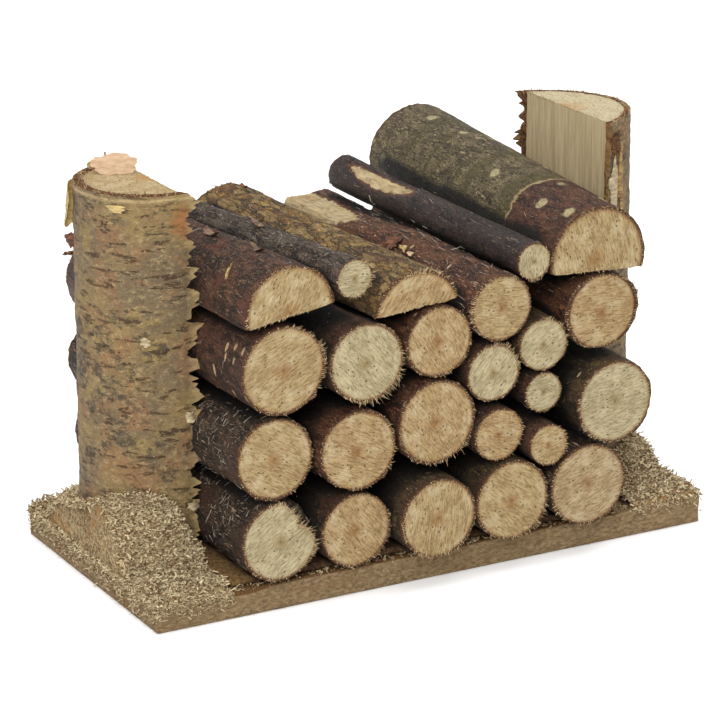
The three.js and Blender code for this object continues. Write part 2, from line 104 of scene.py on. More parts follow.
class Heap:
    """Points, faces and their materials collected into one mesh."""

    def __init__(self):
        self.points, self.faces, self.kinds, self.notes, self.count = [], [], [], {}, 0

    def put(self, points, faces, kind=0, **notes):
        """Adds a shape. kind is its material's number; each note is a number or a row of them per point."""
        points = np.asarray(points, float).reshape(-1, 3)
        for face in faces:
            self.faces.append([int(corner) + self.count for corner in face])
        self.kinds.extend(kind if hasattr(kind, "__len__") else [kind] * len(faces))
        for name in set(self.notes) | set(notes):
            self.notes.setdefault(name, [])
        for name, rows in self.notes.items():
            given = notes.get(name, 0.0)
            rows.append((self.count, len(points), given))
        self.points.append(points)
        self.count += len(points)

    def bristle(self, kind, roots, ways, lengths, widths, bends, shades, **form):
        """Adds fibres, each in a shade of its own."""
        points, faces, each = strands(roots, ways, lengths, widths, bends, **form)
        self.put(points, faces, kind, shade=np.repeat(shades, each))

    def weld(self):
        """Joins points that lie in one place, before any notes are kept."""
        points = np.concatenate(self.points)
        kept, place = np.unique(np.round(points, 3), axis=0, return_inverse=True)
        place = place.ravel()
        self.faces = [[int(place[corner]) for corner in face] for face in self.faces]
        self.points, self.count = [kept], len(kept)
        return kept

    def piece(self, name, slot, materials, stands_for=(), sharp=60):
        """Makes the mesh object, riding on the stack's one body."""
        mesh = bpy.data.meshes.new(name)
        mesh.from_pydata((np.concatenate(self.points) * MM).tolist(), [], self.faces)
        for material in materials:
            mesh.materials.append(material)
        mesh.polygons.foreach_set("material_index", np.asarray(self.kinds, np.int32))
        for note, rows in self.notes.items():
            wide = max(
                np.asarray(given).reshape(size, -1).shape[1] if np.ndim(given) else 1
                for _, size, given in rows
            )
            values = np.zeros((self.count, wide), np.float32)
            for start, size, given in rows:
                values[
                    start:start + size
                ] = np.asarray(given, float).reshape(size, -1) if np.ndim(given) else given
            attribute = mesh.attributes.new(note, "FLOAT_VECTOR" if wide == 3 else "FLOAT", "POINT")
            attribute.data.foreach_set("vector" if wide == 3 else "value", values.ravel())
        mesh.shade_smooth()
        mesh.set_sharp_from_angle(angle=math.radians(sharp))
        mesh.validate()
        thing = bpy.data.objects.new(name, mesh)
        bpy.context.scene.collection.objects.link(thing)
        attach(thing, "root")
        if stands_for:
            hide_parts(*stands_for)
        return thing


def unit(rows):
    return rows / np.maximum(np.linalg.norm(rows, axis=-1, keepdims=True), 1e-9)


def strands(roots, ways, lengths, widths, bends, tip=0.15, flat=0.6, steps=4, sides=3):
    """Many thin tapered fibres, each leaving its root along its way and leaning towards its bend."""
    roots, ways, bends = (np.asarray(rows, float) for rows in (roots, ways, bends))
    share = np.linspace(0, 1, steps)
    reach = np.asarray(lengths)[:, None] * share
    line = roots[:, None] + unit(ways)[:, None] * reach[..., None]
    line = line + bends[:, None] * (reach * share)[..., None]
    along = unit(np.gradient(line, axis=1))
    level = np.where(np.abs(along[..., 2:]) > 0.9, [1.0, 0.0, 0.0], [0.0, 0.0, 1.0])
    across = unit(np.cross(along, level))
    over = np.cross(across, along)
    thick = np.asarray(widths)[:, None] / 2 * (1 - (1 - tip) * share)
    turn = 2 * np.pi * np.arange(sides) / sides
    points = line[:, :, None] + (thick[..., None] * np.cos(turn))[..., None] * across[:, :, None]
    points = points + (thick[..., None] * flat * np.sin(turn))[..., None] * over[:, :, None]
    one = [list(face) for face in grid_faces(steps, sides, closed=True)]
    one += [list(range(sides))[::-1], list(range((steps - 1) * sides, steps * sides))]
    each = steps * sides
    faces = [[corner + each * n for corner in face] for n in range(len(roots)) for face in one]
    return points.reshape(-1, 3), faces, each


# ---- Shader helpers ----
def fill_sockets(tree, node, sockets):
    """Gives a node's sockets, told by name or number, a value or a link."""
    for name, value in sockets.items():
        if isinstance(value, bpy.types.NodeSocket):
            tree.links.new(value, node.inputs[name])
        else:
            node.inputs[name].default_value = value


def add(tree, kind, sockets, **settings):
    node = tree.nodes.new(kind)
    for name, value in settings.items():
        setattr(node, name, value)
    fill_sockets(tree, node, sockets)
    return node


def blend(tree, share, first, second, how="MIX"):
    node = add(tree, "ShaderNodeMix", {0: share, 6: first, 7: second}, data_type="RGBA", blend_type=how)
    return node.outputs[2]


def sums(tree, what, first, second=0.0, third=0.0):
    return add(tree, "ShaderNodeMath", {0: first, 1: second, 2: third}, operation=what).outputs[0]


def spread(tree, value, low, high, start=0.0, end=1.0):
    """value from low..high, stretched to start..end and held there."""
    node = add(
        tree, "ShaderNodeMapRange", {0: value, 1: low, 2: high, 3: start, 4: end},
        interpolation_type="SMOOTHSTEP",
    )
    return node.outputs[0]


def times(tree, first, second):
    return sums(tree, "MULTIPLY", first, second)


def jitter(tree, value, noise, amount):
    """value, pushed up and down by a noise that swings round a half."""
    return sums(tree, "MULTIPLY_ADD", sums(tree, "SUBTRACT", noise, 0.5), amount, value)


def tinted(tree, tone, *rows):
    """tone, blended with one colour after another. Each row is a value, the low and high of it that bring
    the colour in, the most that comes in, and the colour."""
    for value, low, high, most, colour in rows:
        tone = blend(tree, spread(tree, value, low, high, 0, most), tone, colour)
    return tone


def scaled(tree, place, x, y, z):
    return add(tree, "ShaderNodeVectorMath", {0: place, 1: (x, y, z)}, operation="MULTIPLY").outputs[0]


def stretched(tree, place, x, y, z):
    """place times three factors of which some are links."""
    run = add(tree, "ShaderNodeCombineXYZ", {0: x, 1: y, 2: z}).outputs[0]
    return add(tree, "ShaderNodeVectorMath", {0: place, 1: run}, operation="MULTIPLY").outputs[0]


def flecks(tree, place, size, picked):
    """Dots in some of the cells of space: the fall of a dot's edge, and which of the cells have one."""
    cells = add(tree, "ShaderNodeTexVoronoi", {"Vector": place, "Scale": 1.0}).outputs
    chosen = add(tree, "ShaderNodeSeparateColor", {0: cells["Color"]}).outputs[0]
    return times(tree, spread(tree, cells["Distance"], *size), spread(tree, chosen, *picked))


def clouds(tree, place, size=1.0, detail=3.0, rough=0.55, twist=0.0):
    node = add(
        tree, "ShaderNodeTexNoise",
        {"Vector": place, "Scale": size, "Detail": detail, "Roughness": rough, "Distortion": twist},
    )
    return node.outputs[0]


def note(tree, name, output="Fac"):
    return add(tree, "ShaderNodeAttribute", {}, attribute_name=name).outputs[output]


def group(name, takes, gives):
    """An empty shader node group with named sockets, and its inside ends."""
    tree = bpy.data.node_groups.new(name, "ShaderNodeTree")
    for label, (kind, value) in takes.items():
        socket = tree.interface.new_socket(name=label, in_out="INPUT", socket_type=kind)
        socket.default_value = value
    for label, kind in gives.items():
        tree.interface.new_socket(name=label, in_out="OUTPUT", socket_type=kind)
    inside = tree.nodes.new("NodeGroupInput").outputs
    outside = tree.nodes.new("NodeGroupOutput").inputs
    return tree, inside, outside


FLOAT, VECTOR, COLOUR = "NodeSocketFloat", "NodeSocketVector", "NodeSocketColor"


def use(tree, made, **values):
    node = tree.nodes.new("ShaderNodeGroup")
    node.node_tree = made
    fill_sockets(tree, node, values)
    return node.outputs


def rgb(red, green, blue):
    """A colour given in 0 to 255 as it looks, as the linear values that shaders take."""
    def linear(value):
        value /= 255
        return value / 12.92 if value <= 0.04045 else ((value + 0.055) / 1.055) ** 2.4
    return linear(red), linear(green), linear(blue), 1.0


# ---- Shared effects ----
def build_sawn_wood():
    """End grain left furry by a saw: short fibres lying one way, pores, growth rings, pith and rim."""
    takes = {
        "Section": (VECTOR, (0, 0, 0)),
        "Wood": (COLOUR, rgb(214, 200, 164)),
        "Deep": (COLOUR, rgb(150, 124, 84)),
        "Pith": (COLOUR, rgb(170, 122, 66)),
        "Rim": (COLOUR, rgb(62, 36, 20)),
        "Radius": (FLOAT, 1.0),
    }
    tree, take, give = group("Furry sawn end", takes, {"Color": COLOUR, "Height": FLOAT})
    place = take["Section"]
    flat = scaled(tree, place, 1, 1, 0)
    fur = clouds(tree, scaled(tree, place, 0.95, 4.6, 0.8), 1.0, 5, 0.68, 0.35)
    fine = clouds(tree, scaled(tree, place, 4, 11, 3), 1.0, 3, 0.6)
    patch = clouds(tree, flat, 0.35, 2)
    out = add(tree, "ShaderNodeVectorMath", {0: flat}, operation="LENGTH").outputs["Value"]
    share = sums(tree, "DIVIDE", out, take["Radius"])
    wave = sums(tree, "SINE", sums(tree, "MULTIPLY_ADD", out, 9.0, times(tree, patch, 8.0)))
    tone = blend(tree, spread(tree, fur, 0.6, 0.36, 0, 0.85), take["Wood"], take["Deep"])
    tone = tinted(
        tree, tone,
        (fine, 0.5, 0.28, 0.4, take["Deep"]),
        (patch, 0.5, 0.68, 0.35, take["Deep"]),
        (patch, 0.5, 0.34, 0.4, rgb(194, 180, 146)),
        (fine, 0.56, 0.74, 0.5, rgb(204, 188, 150)),
    )
    tone = blend(tree, times(tree, spread(tree, wave, 0.2, 1), 0.12), tone, take["Pith"])
    pore = flecks(tree, scaled(tree, place, 1.5, 2.6, 0), (0.3, 0.14), (0.8, 0.86))
    tone = blend(tree, times(tree, pore, 0.75), tone, rgb(84, 62, 36))
    near = jitter(tree, share, fur, 0.25)
    tone = tinted(
        tree, tone,
        (near, 0.3, 0.05, 0.55, take["Pith"]),
        (out, 0.34, 0.12, 0.55, rgb(96, 64, 34)),
    )
    edge = jitter(tree, share, fine, 0.16)
    tone = tinted(
        tree, tone,
        (edge, 0.86, 0.93, 0.5, rgb(132, 86, 44)),
        (edge, 0.91, 0.955, 0.92, take["Rim"]),
    )
    height = sums(tree, "SUBTRACT", sums(tree, "MULTIPLY_ADD", fine, 0.5, fur), pore)
    tree.links.new(tone, give["Color"])
    tree.links.new(height, give["Height"])
    return tree


def build_long_grain():
    """Split or planed wood seen along its grain: fine streaks, darker bands and a few fleck marks."""
    takes = {
        "Place": (VECTOR, (0, 0, 0)),
        "Wood": (COLOUR, rgb(205, 185, 140)),
        "Dark": (COLOUR, rgb(150, 122, 80)),
        "Along": (FLOAT, 0.15),
        "Across": (FLOAT, 3.0),
    }
    tree, take, give = group("Long grain", takes, {"Color": COLOUR, "Height": FLOAT})
    place = stretched(tree, take["Place"], take["Across"], take["Across"], take["Along"])
    streak = clouds(tree, place, 1.0, 5, 0.65, 0.15)
    band = clouds(tree, place, 0.28, 2)
    tone = blend(tree, spread(tree, streak, 0.6, 0.32, 0, 0.75), take["Wood"], take["Dark"])
    tone = tinted(
        tree, tone,
        (band, 0.5, 0.72, 0.25, take["Dark"]),
        (streak, 0.6, 0.75, 0.4, rgb(202, 186, 150)),
    )
    tree.links.new(tone, give["Color"])
    tree.links.new(streak, give["Height"])
    return tree


def build_bark_marks():
    """Pale breathing marks that lie across a shoot: sparse, short and slightly raised."""
    tree, take, give = group(
        "Breathing marks",
        {"Place": (VECTOR, (0, 0, 0)), "Amount": (FLOAT, 0.3), "Size": (FLOAT, 1.0), "Slim": (FLOAT, 0.95)},
        {"Mask": FLOAT},
    )
    wobble = clouds(tree, take["Place"], 1.2, 2)
    size = sums(tree, "DIVIDE", 1.0, take["Size"])
    place = stretched(tree, take["Place"], 0.5, take["Slim"], 0.5)
    cells = add(tree, "ShaderNodeTexVoronoi", {"Vector": place, "Scale": size}).outputs
    chosen = add(tree, "ShaderNodeSeparateColor", {0: cells["Color"]}).outputs[0]
    picked = sums(tree, "LESS_THAN", chosen, take["Amount"])
    reach = jitter(tree, cells["Distance"], wobble, 0.25)
    tree.links.new(times(tree, spread(tree, reach, 0.28, 0.17), picked), give["Mask"])
    return tree


def build_cracks():
    """Old bark broken into plates, by cracks that run along and across."""
    tree, take, give = group(
        "Cracked plates",
        {"Place": (VECTOR, (0, 0, 0)), "Width": (FLOAT, 1.0), "Length": (FLOAT, 2.0)},
        {"Crack": FLOAT, "Plate": FLOAT},
    )
    wide = sums(tree, "DIVIDE", 1.0, take["Width"])
    long = sums(tree, "DIVIDE", 1.0, take["Length"])
    place = stretched(tree, take["Place"], wide, long, wide)
    drift = add(tree, "ShaderNodeTexNoise", {"Vector": place, "Scale": 1.7, "Detail": 3.0}).outputs["Color"]
    place = add(
        tree, "ShaderNodeVectorMath", {0: drift, 1: (0.7, 0.7, 0.7), 2: place}, operation="MULTIPLY_ADD"
    ).outputs[0]
    edge = add(
        tree, "ShaderNodeTexVoronoi", {"Vector": place, "Scale": 1.0}, feature="DISTANCE_TO_EDGE"
    ).outputs["Distance"]
    cell = add(tree, "ShaderNodeTexVoronoi", {"Vector": place, "Scale": 1.0}).outputs["Color"]
    gate = spread(tree, clouds(tree, take["Place"], 0.45, 3), 0.36, 0.58)
    tree.links.new(times(tree, spread(tree, edge, 0.09, 0.0), gate), give["Crack"])
    tree.links.new(add(tree, "ShaderNodeSeparateColor", {0: cell}).outputs[0], give["Plate"])
    return tree


def build_weathering():
    """The skin of a twig: blotches, grit, pale scratches along it and fine dark cracks."""
    tree, take, give = group(
        "Weathered twig",
        {"Place": (VECTOR, (0, 0, 0)), "Dark": (COLOUR, rgb(50, 38, 30)), "Mid": (COLOUR, rgb(84, 66, 52)),
         "Light": (COLOUR, rgb(120, 98, 76)), "Scratches": (FLOAT, 0.3), "Cracks": (FLOAT, 0.6)},
        {"Color": COLOUR, "Height": FLOAT},
    )
    place = take["Place"]
    blotch = clouds(tree, scaled(tree, place, 0.55, 0.24, 0.55), 1.0, 8, 0.72)
    lump = clouds(tree, scaled(tree, place, 1.8, 1.0, 1.8), 1.0, 5, 0.7, 0.4)
    grit = clouds(tree, scaled(tree, place, 6.5, 4.5, 6.5), 1.0, 3, 0.7)
    scratch = clouds(tree, scaled(tree, place, 5.5, 0.6, 5.5), 1.0, 3, 0.6, 0.6)
    seam = clouds(tree, scaled(tree, place, 1.1, 0.34, 1.1), 1.0, 4, 0.6, 0.3)
    crack = spread(tree, sums(tree, "ABSOLUTE", sums(tree, "SUBTRACT", seam, 0.5)), 0.024, 0.006)
    crack = times(tree, crack, spread(tree, lump, 0.4, 0.55))
    tone = blend(tree, spread(tree, blotch, 0.44, 0.55), take["Dark"], take["Mid"])
    tone = tinted(
        tree, tone,
        (lump, 0.52, 0.66, 0.7, take["Light"]),
        (grit, 0.52, 0.36, 0.65, rgb(30, 20, 14)),
        (grit, 0.57, 0.7, 0.6, take["Light"]),
    )
    scratched = times(tree, spread(tree, scratch, 0.6, 0.68), take["Scratches"])
    tone = blend(tree, scratched, tone, rgb(178, 162, 140))
    tone = blend(tree, times(tree, crack, take["Cracks"]), tone, rgb(24, 15, 10))
    height = sums(tree, "SUBTRACT", sums(tree, "MULTIPLY_ADD", lump, 1.2, times(tree, grit, 0.7)), crack)
    tone = add(tree, "ShaderNodeGamma", {0: tone, 1: 1.35}).outputs[0]
    tone = add(
        tree, "ShaderNodeVectorMath", {0: tone, 1: (2.0, 1.95, 1.85)}, operation="MULTIPLY"
    ).outputs[0]
    tree.links.new(tone, give["Color"])
    tree.links.new(height, give["Height"])
    return tree


def build_dust():
    """Sawdust specks that settled on what faces up."""
    tree, take, give = group(
        "Settled sawdust", {"Place": (VECTOR, (0, 0, 0)), "Amount": (FLOAT, 0.4)}, {"Mask": FLOAT}
    )
    up = add(
        tree, "ShaderNodeSeparateXYZ", {0: tree.nodes.new("ShaderNodeNewGeometry").outputs["Normal"]}
    ).outputs[2]
    specks = clouds(tree, take["Place"], 3.2, 3, 0.7)
    drift = clouds(tree, take["Place"], 0.25, 2)
    limit = sums(tree, "MULTIPLY_ADD", take["Amount"], -0.16, 0.76)
    mask = spread(
        tree, sums(tree, "SUBTRACT", sums(tree, "MULTIPLY_ADD", drift, 0.12, specks), limit), 0.0, 0.05
    )
    tree.links.new(times(tree, mask, spread(tree, up, -0.2, 0.6)), give["Mask"])
    return tree


SAWN = build_sawn_wood()
GRAIN = build_long_grain()
MARKS = build_bark_marks()
CRACKS = build_cracks()
DUST = build_dust()
TWIG = build_weathering()


def new_material(name):
    made = bpy.data.materials.new(name)
    made.use_nodes = True
    return made


def finish_surface(made, colour, roughness, height, relief, shine):
    """Ends a material: colour, roughness and bump into its Principled shader. relief is in mm."""
    tree = made.node_tree
    shader = tree.nodes["Principled BSDF"]
    bump = add(tree, "ShaderNodeBump", {"Strength": 1.0, "Distance": relief * MM, "Height": height})
    values = {
        "Base Color": colour, "Roughness": roughness, "Specular IOR Level": shine,
        "Normal": bump.outputs[0],
    }
    fill_sockets(tree, shader, values)
    return made


def where(tree):
    """The place of a surface point in millimetres."""
    spot = tree.nodes.new("ShaderNodeTexCoord").outputs["Object"]
    return scaled(tree, spot, 1000, 1000, 1000)


# ---- Materials ----
def sawn_end(name, wood, deep, pith=(170, 122, 66)):
    made = new_material(name)
    tree = made.node_tree
    out = use(
        tree, SAWN, Section=note(tree, "section", "Vector"), Radius=note(tree, "radius"), Wood=rgb(*wood),
        Deep=rgb(*deep), Pith=rgb(*pith),
    )
    return finish_surface(made, out["Color"], 0.85, out["Height"], 0.28, 0.25)


def twig_bark(
    name, dark, mid, light, scratches=0.3, cracks=0.6, marks=0.0, mark_size=1.0,
    mark_tone=(190, 162, 126), mark_slim=0.95, plates=0.0, plate=(1.2, 2.4), sheen=0.62, stain=None,
    dust=0.35, young_end=None
):
    """Twig bark: weathered skin, breathing marks, plates, and bare wood where a knife cut it. young_end is
    how far back, in mm, the redder length of bark at the front ends, for the log that has one."""
    made = new_material(name)
    tree = made.node_tree
    place = where(tree)
    skin = use(
        tree, TWIG, Place=place, Dark=rgb(*dark), Mid=rgb(*mid), Light=rgb(*light), Scratches=scratches,
        Cracks=cracks,
    )
    tone, height = skin["Color"], skin["Height"]
    fine = clouds(tree, scaled(tree, place, 5, 2.2, 5), 1.0, 4, 0.7)
    if stain:
        area = clouds(tree, scaled(tree, place, 0.24, 0.16, 0.24), 1.0, 4, 0.7)
        tone = blend(tree, spread(tree, area, 0.5, 0.6, 0, 0.75), tone, rgb(*stain), "OVERLAY")
        tone = blend(tree, spread(tree, area, 0.5, 0.6, 0, 0.45), tone, rgb(*stain))
    if plates:
        cracked = use(tree, CRACKS, Place=place, Width=plate[0], Length=plate[1])
        worn = times(tree, spread(tree, cracked["Plate"], 0.45, 0.7), 0.5 * plates)
        tone = blend(tree, worn, tone, rgb(*light))
        tone = blend(
            tree, times(tree, cracked["Crack"], 0.8 * plates), tone, rgb(*[part * 0.5 for part in dark])
        )
        height = sums(tree, "SUBTRACT", height, times(tree, cracked["Crack"], 1.4 * plates))
    if young_end is not None:
        back = add(tree, "ShaderNodeSeparateXYZ", {0: place}).outputs[1]
        edge = jitter(tree, back, clouds(tree, place, 0.22, 4, 0.6), 5.0)
        ring = clouds(tree, scaled(tree, place, 0.03, 0.27, 0.03), 1.0, 2, 0.5)
        lines = clouds(tree, scaled(tree, place, 0.25, 2.6, 0.25), 1.0, 2, 0.5)
        first = spread(tree, edge, young_end + 4.6, young_end + 3.4)
        rings = sums(tree, "MAXIMUM", times(tree, spread(tree, ring, 0.52, 0.57), 0.85), first)
        rings = times(tree, rings, spread(tree, lines, 0.4, 0.54, 0.4, 0.95))
        tone = blend(tree, rings, tone, rgb(70, 62, 32))
        young = spread(tree, edge, young_end + 0.25, young_end - 0.05)
        red = use(
            tree, TWIG, Place=place, Dark=rgb(54, 34, 27), Mid=rgb(88, 61, 48), Light=rgb(118, 88, 68),
            Scratches=0.2, Cracks=0.25,
        )
        tone = blend(tree, young, tone, red["Color"])
        lip = spread(tree, edge, young_end - 0.1, young_end + 0.15)
        lip = times(tree, lip, spread(tree, edge, young_end + 0.7, young_end + 0.4))
        tone = blend(tree, times(tree, lip, 0.6), tone, rgb(168, 146, 106))
    if marks:
        mark = use(tree, MARKS, Place=place, Amount=marks, Size=mark_size, Slim=mark_slim)["Mask"]
        worn = times(tree, mark, spread(tree, fine, 0.3, 0.5, 0.4, 0.9))
        tone = blend(tree, worn, tone, rgb(*mark_tone))
        height = sums(tree, "MULTIPLY_ADD", mark, 0.9, height)
    settled = use(tree, DUST, Place=place, Amount=dust)["Mask"]
    tone = blend(tree, times(tree, settled, 0.7), tone, rgb(190, 168, 126))
    torn = clouds(tree, place, 4.0, 3, 0.6)
    frayed = blend(tree, spread(tree, torn, 0.46, 0.6), rgb(52, 30, 18), rgb(128, 84, 48))
    tone = blend(tree, times(tree, note(tree, "frayed"), 0.85), tone, frayed)
    # painted shade: bark that other logs hem in goes near black, as the gaps between the logs fall dark
    painted_gap_shade = jitter(tree, note(tree, "hemmed"), torn, 0.3)
    tone = blend(tree, spread(tree, painted_gap_shade, 0.12, 0.75, 0, 0.93), tone, rgb(12, 8, 6))
    rim = jitter(tree, note(tree, "bared"), clouds(tree, place, 1.1, 5, 0.7), 0.9)
    tone = blend(tree, spread(tree, rim, 0.3, 0.42), tone, rgb(82, 48, 28))
    cut = use(
        tree, GRAIN, Place=place, Along=2.0, Across=0.35, Wood=rgb(180, 160, 120), Dark=rgb(148, 120, 80)
    )
    tone = blend(tree, spread(tree, rim, 0.52, 0.6), tone, cut["Color"])
    rough = spread(tree, fine, 0.2, 0.8, sheen - 0.1, sheen + 0.18)
    return finish_surface(made, tone, rough, height, 0.26, 0.3)


def torn_fibre(name, light, dark):
    """Loose fibres and grains. Each one's own shade runs from dark to light."""
    made = new_material(name)
    tree = made.node_tree
    shade = note(tree, "shade")
    speck = clouds(tree, where(tree), 2.5, 3)
    tone = blend(tree, shade, rgb(*dark), rgb(*light))
    tone = blend(tree, spread(tree, speck, 0.62, 0.36, 0, 0.35), tone, rgb(*[part * 0.7 for part in dark]))
    return finish_surface(made, tone, 0.85, speck, 0.05, 0.25)


def sawdust_bed():
    made = new_material("sawdust")
    tree = made.node_tree
    place = where(tree)
    flake = clouds(tree, place, 2.2, 5, 0.75, 0.8)
    broad = clouds(tree, place, 0.3, 2)
    tone = blend(tree, spread(tree, flake, 0.36, 0.64), rgb(86, 60, 34), rgb(184, 162, 122))
    tone = blend(tree, spread(tree, broad, 0.52, 0.66, 0, 0.5), tone, rgb(150, 106, 54))
    return finish_surface(made, tone, 0.9, flake, 0.4, 0.2)


def fibreboard():
    """Sawn fibreboard: matted brown fibres, lighter where the saw tore it, glue soaked in by the logs."""
    made = new_material("fibreboard")
    tree = made.node_tree
    place = where(tree)
    mat = clouds(tree, scaled(tree, place, 1.2, 1.2, 2.6), 1.0, 6, 0.72, 0.5)
    fine = clouds(tree, place, 5.0, 3, 0.7)
    broad = clouds(tree, scaled(tree, place, 0.1, 0.1, 0.6), 1.0, 3)
    tone = blend(tree, spread(tree, mat, 0.34, 0.66), rgb(94, 76, 52), rgb(146, 123, 90))
    tone = tinted(
        tree, tone,
        (fine, 0.56, 0.74, 0.5, rgb(184, 160, 120)),
        (broad, 0.5, 0.7, 0.4, rgb(118, 88, 54)),
    )
    soaked = jitter(tree, note(tree, "soaked"), mat, 0.8)
    tone = blend(tree, spread(tree, soaked, 0.35, 0.65, 0, 0.85), tone, rgb(84, 52, 20))
    return finish_surface(made, tone, 0.92, sums(tree, "MULTIPLY_ADD", fine, 0.4, mat), 0.3, 0.2)


def papery_bark(name, base, shadow, warm, marks, lip=(180, 154, 108)):
    """Thin pale bark: zones of tint, mottling, grey-green blotches, broken dark rows across it and dots."""
    made = new_material(name)
    tree = made.node_tree
    place = where(tree)
    zone = clouds(tree, scaled(tree, place, 0.1, 0.1, 0.12), 1.0, 3, 0.6)
    other = clouds(tree, scaled(tree, place, 0.17, 0.17, 0.2), 1.0, 4, 0.65, 0.4)
    mottle = clouds(tree, scaled(tree, place, 0.9, 0.9, 1.5), 1.0, 7, 0.78, 0.3)
    fine = clouds(tree, scaled(tree, place, 4, 4, 5.5), 1.0, 4, 0.75)
    tone = blend(tree, spread(tree, zone, 0.4, 0.58), rgb(*shadow), rgb(*base))
    tone = tinted(
        tree, tone,
        (other, 0.5, 0.6, 0.65, rgb(*warm)),
        (other, 0.46, 0.36, 0.6, rgb(146, 122, 70)),
        (mottle, 0.52, 0.62, 0.6, rgb(170, 150, 108)),
        (mottle, 0.47, 0.37, 0.5, rgb(84, 68, 46)),
        (fine, 0.46, 0.34, 0.6, rgb(66, 48, 30)),
        (fine, 0.58, 0.7, 0.55, rgb(188, 166, 124)),
    )
    stain = clouds(tree, scaled(tree, place, 0.34, 0.34, 0.5), 1.0, 6, 0.75, 0.3)
    stain = jitter(tree, stain, clouds(tree, place, 0.09, 2), 0.5)
    stain = spread(tree, stain, 0.53, 0.62, 0, 0.85 * marks)
    stain = times(tree, stain, spread(tree, mottle, 0.62, 0.42, 0.15, 1))
    tone = blend(tree, stain, tone, rgb(60, 54, 42))
    row = clouds(tree, scaled(tree, place, 0.3, 0.3, 1.25), 1.0, 3, 0.55)
    crumbs = clouds(tree, scaled(tree, place, 2.2, 2.2, 3.2), 1.0, 3, 0.7)
    row = times(tree, spread(tree, row, 0.57, 0.63), spread(tree, crumbs, 0.42, 0.52))
    tone = blend(tree, times(tree, row, 0.8 * marks), tone, rgb(62, 38, 22))
    dot = flecks(tree, scaled(tree, place, 0.75, 0.75, 1.1), (0.2, 0.1), (0.8, 0.84))
    tone = blend(tree, times(tree, dot, 0.8), tone, rgb(50, 32, 20))
    torn = jitter(tree, note(tree, "peeled"), mottle, 2.2)
    tone = blend(tree, spread(tree, torn, 0.35, 0.75, 0, 0.75), tone, rgb(150, 98, 54))
    edge = times(tree, note(tree, "frayed"), spread(tree, mottle, 0.3, 0.6, 0.35, 0.85))
    tone = blend(tree, edge, tone, rgb(*lip))
    hem = times(tree, note(tree, "hem"), spread(tree, crumbs, 0.38, 0.5, 0.2, 0.9))
    tone = blend(tree, hem, tone, rgb(182, 158, 114))
    height = sums(tree, "SUBTRACT", sums(tree, "MULTIPLY_ADD", mottle, 1.2, fine), times(tree, row, 0.8))
    return finish_surface(made, tone, 0.72, height, 0.24, 0.3)


def cork():
    made = new_material("inner_bark")
    tree = made.node_tree
    place = where(tree)
    crumb = clouds(tree, place, 2.6, 5, 0.75, 0.6)
    tone = blend(tree, spread(tree, crumb, 0.36, 0.62), rgb(48, 29, 18), rgb(114, 78, 48))
    tone = blend(tree, spread(tree, crumb, 0.6, 0.72, 0, 0.75), tone, rgb(164, 128, 86))
    return finish_surface(made, tone, 0.9, crumb, 0.4, 0.2)


def split_face(name, wood, dark):
    made = new_material(name)
    tree = made.node_tree
    out = use(tree, GRAIN, Place=where(tree), Wood=rgb(*wood), Dark=rgb(*dark), Along=0.16, Across=4.2)
    return finish_surface(made, out["Color"], 0.8, out["Height"], 0.14, 0.25)


def set_glue(name, low, high):
    made = new_material(name)
    tree = made.node_tree
    place = where(tree)
    haze = clouds(tree, place, 0.9, 4)
    tone = blend(tree, spread(tree, haze, 0.35, 0.65), rgb(*low), rgb(*high))
    rough = spread(tree, clouds(tree, place, 3.0, 3), 0.3, 0.7, 0.3, 0.55)
    return finish_surface(made, tone, rough, haze, 0.1, 0.6)


def soaked_shaded_board():
    """Glue that soaked into dust and board fibres under the logs: dull dark brown, with painted shade that
    darkens it further in under the logs and a lighter lit copy at its left end.
    """
    made = new_material("soaked_shaded_board")
    tree = made.node_tree
    place = where(tree)
    mat = clouds(tree, place, 1.6, 6, 0.75, 0.5)
    left = add(tree, "ShaderNodeSeparateXYZ", {0: place}).outputs[0]
    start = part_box("glue_bed")[0].x / MM
    # painted shade: a few mm in from the bed's left end the glue turns from the lit copy to the darker one,
    # as it lies in shade under the logs
    deep = spread(tree, left, start + 1.5, start + 5.0)
    tone = blend(tree, spread(tree, mat, 0.38, 0.62), rgb(44, 29, 17), rgb(92, 66, 40))
    lit = blend(tree, spread(tree, mat, 0.36, 0.6), rgb(78, 54, 28), rgb(128, 98, 58))
    tone = blend(tree, deep, lit, tone)
    return finish_surface(made, tone, 0.85, mat, 0.5, 0.25)


def paper_flake(name, light, dark):
    made = new_material(name)
    tree = made.node_tree
    place = where(tree)
    vein = clouds(tree, scaled(tree, place, 0.8, 0.8, 3.0), 1.0, 4)
    tone = blend(tree, spread(tree, vein, 0.35, 0.65), rgb(*dark), rgb(*light))
    return finish_surface(made, tone, 0.6, vein, 0.06, 0.35)


STRAW = sawn_end("sawn_straw", (172, 151, 109), (120, 94, 58), (132, 90, 46))
CREAM = sawn_end("sawn_cream", (178, 166, 132), (124, 108, 74), (126, 104, 62))
TAN = sawn_end("sawn_tan", (174, 150, 108), (118, 90, 54), (128, 84, 42))
ROSY = sawn_end("sawn_rosy", (172, 152, 116), (118, 92, 60), (128, 88, 50))
FIBRES = torn_fibre("torn_fibres", (196, 178, 138), (122, 80, 46))
HAIRS = torn_fibre("pale_hairs", (184, 174, 158), (118, 100, 82))

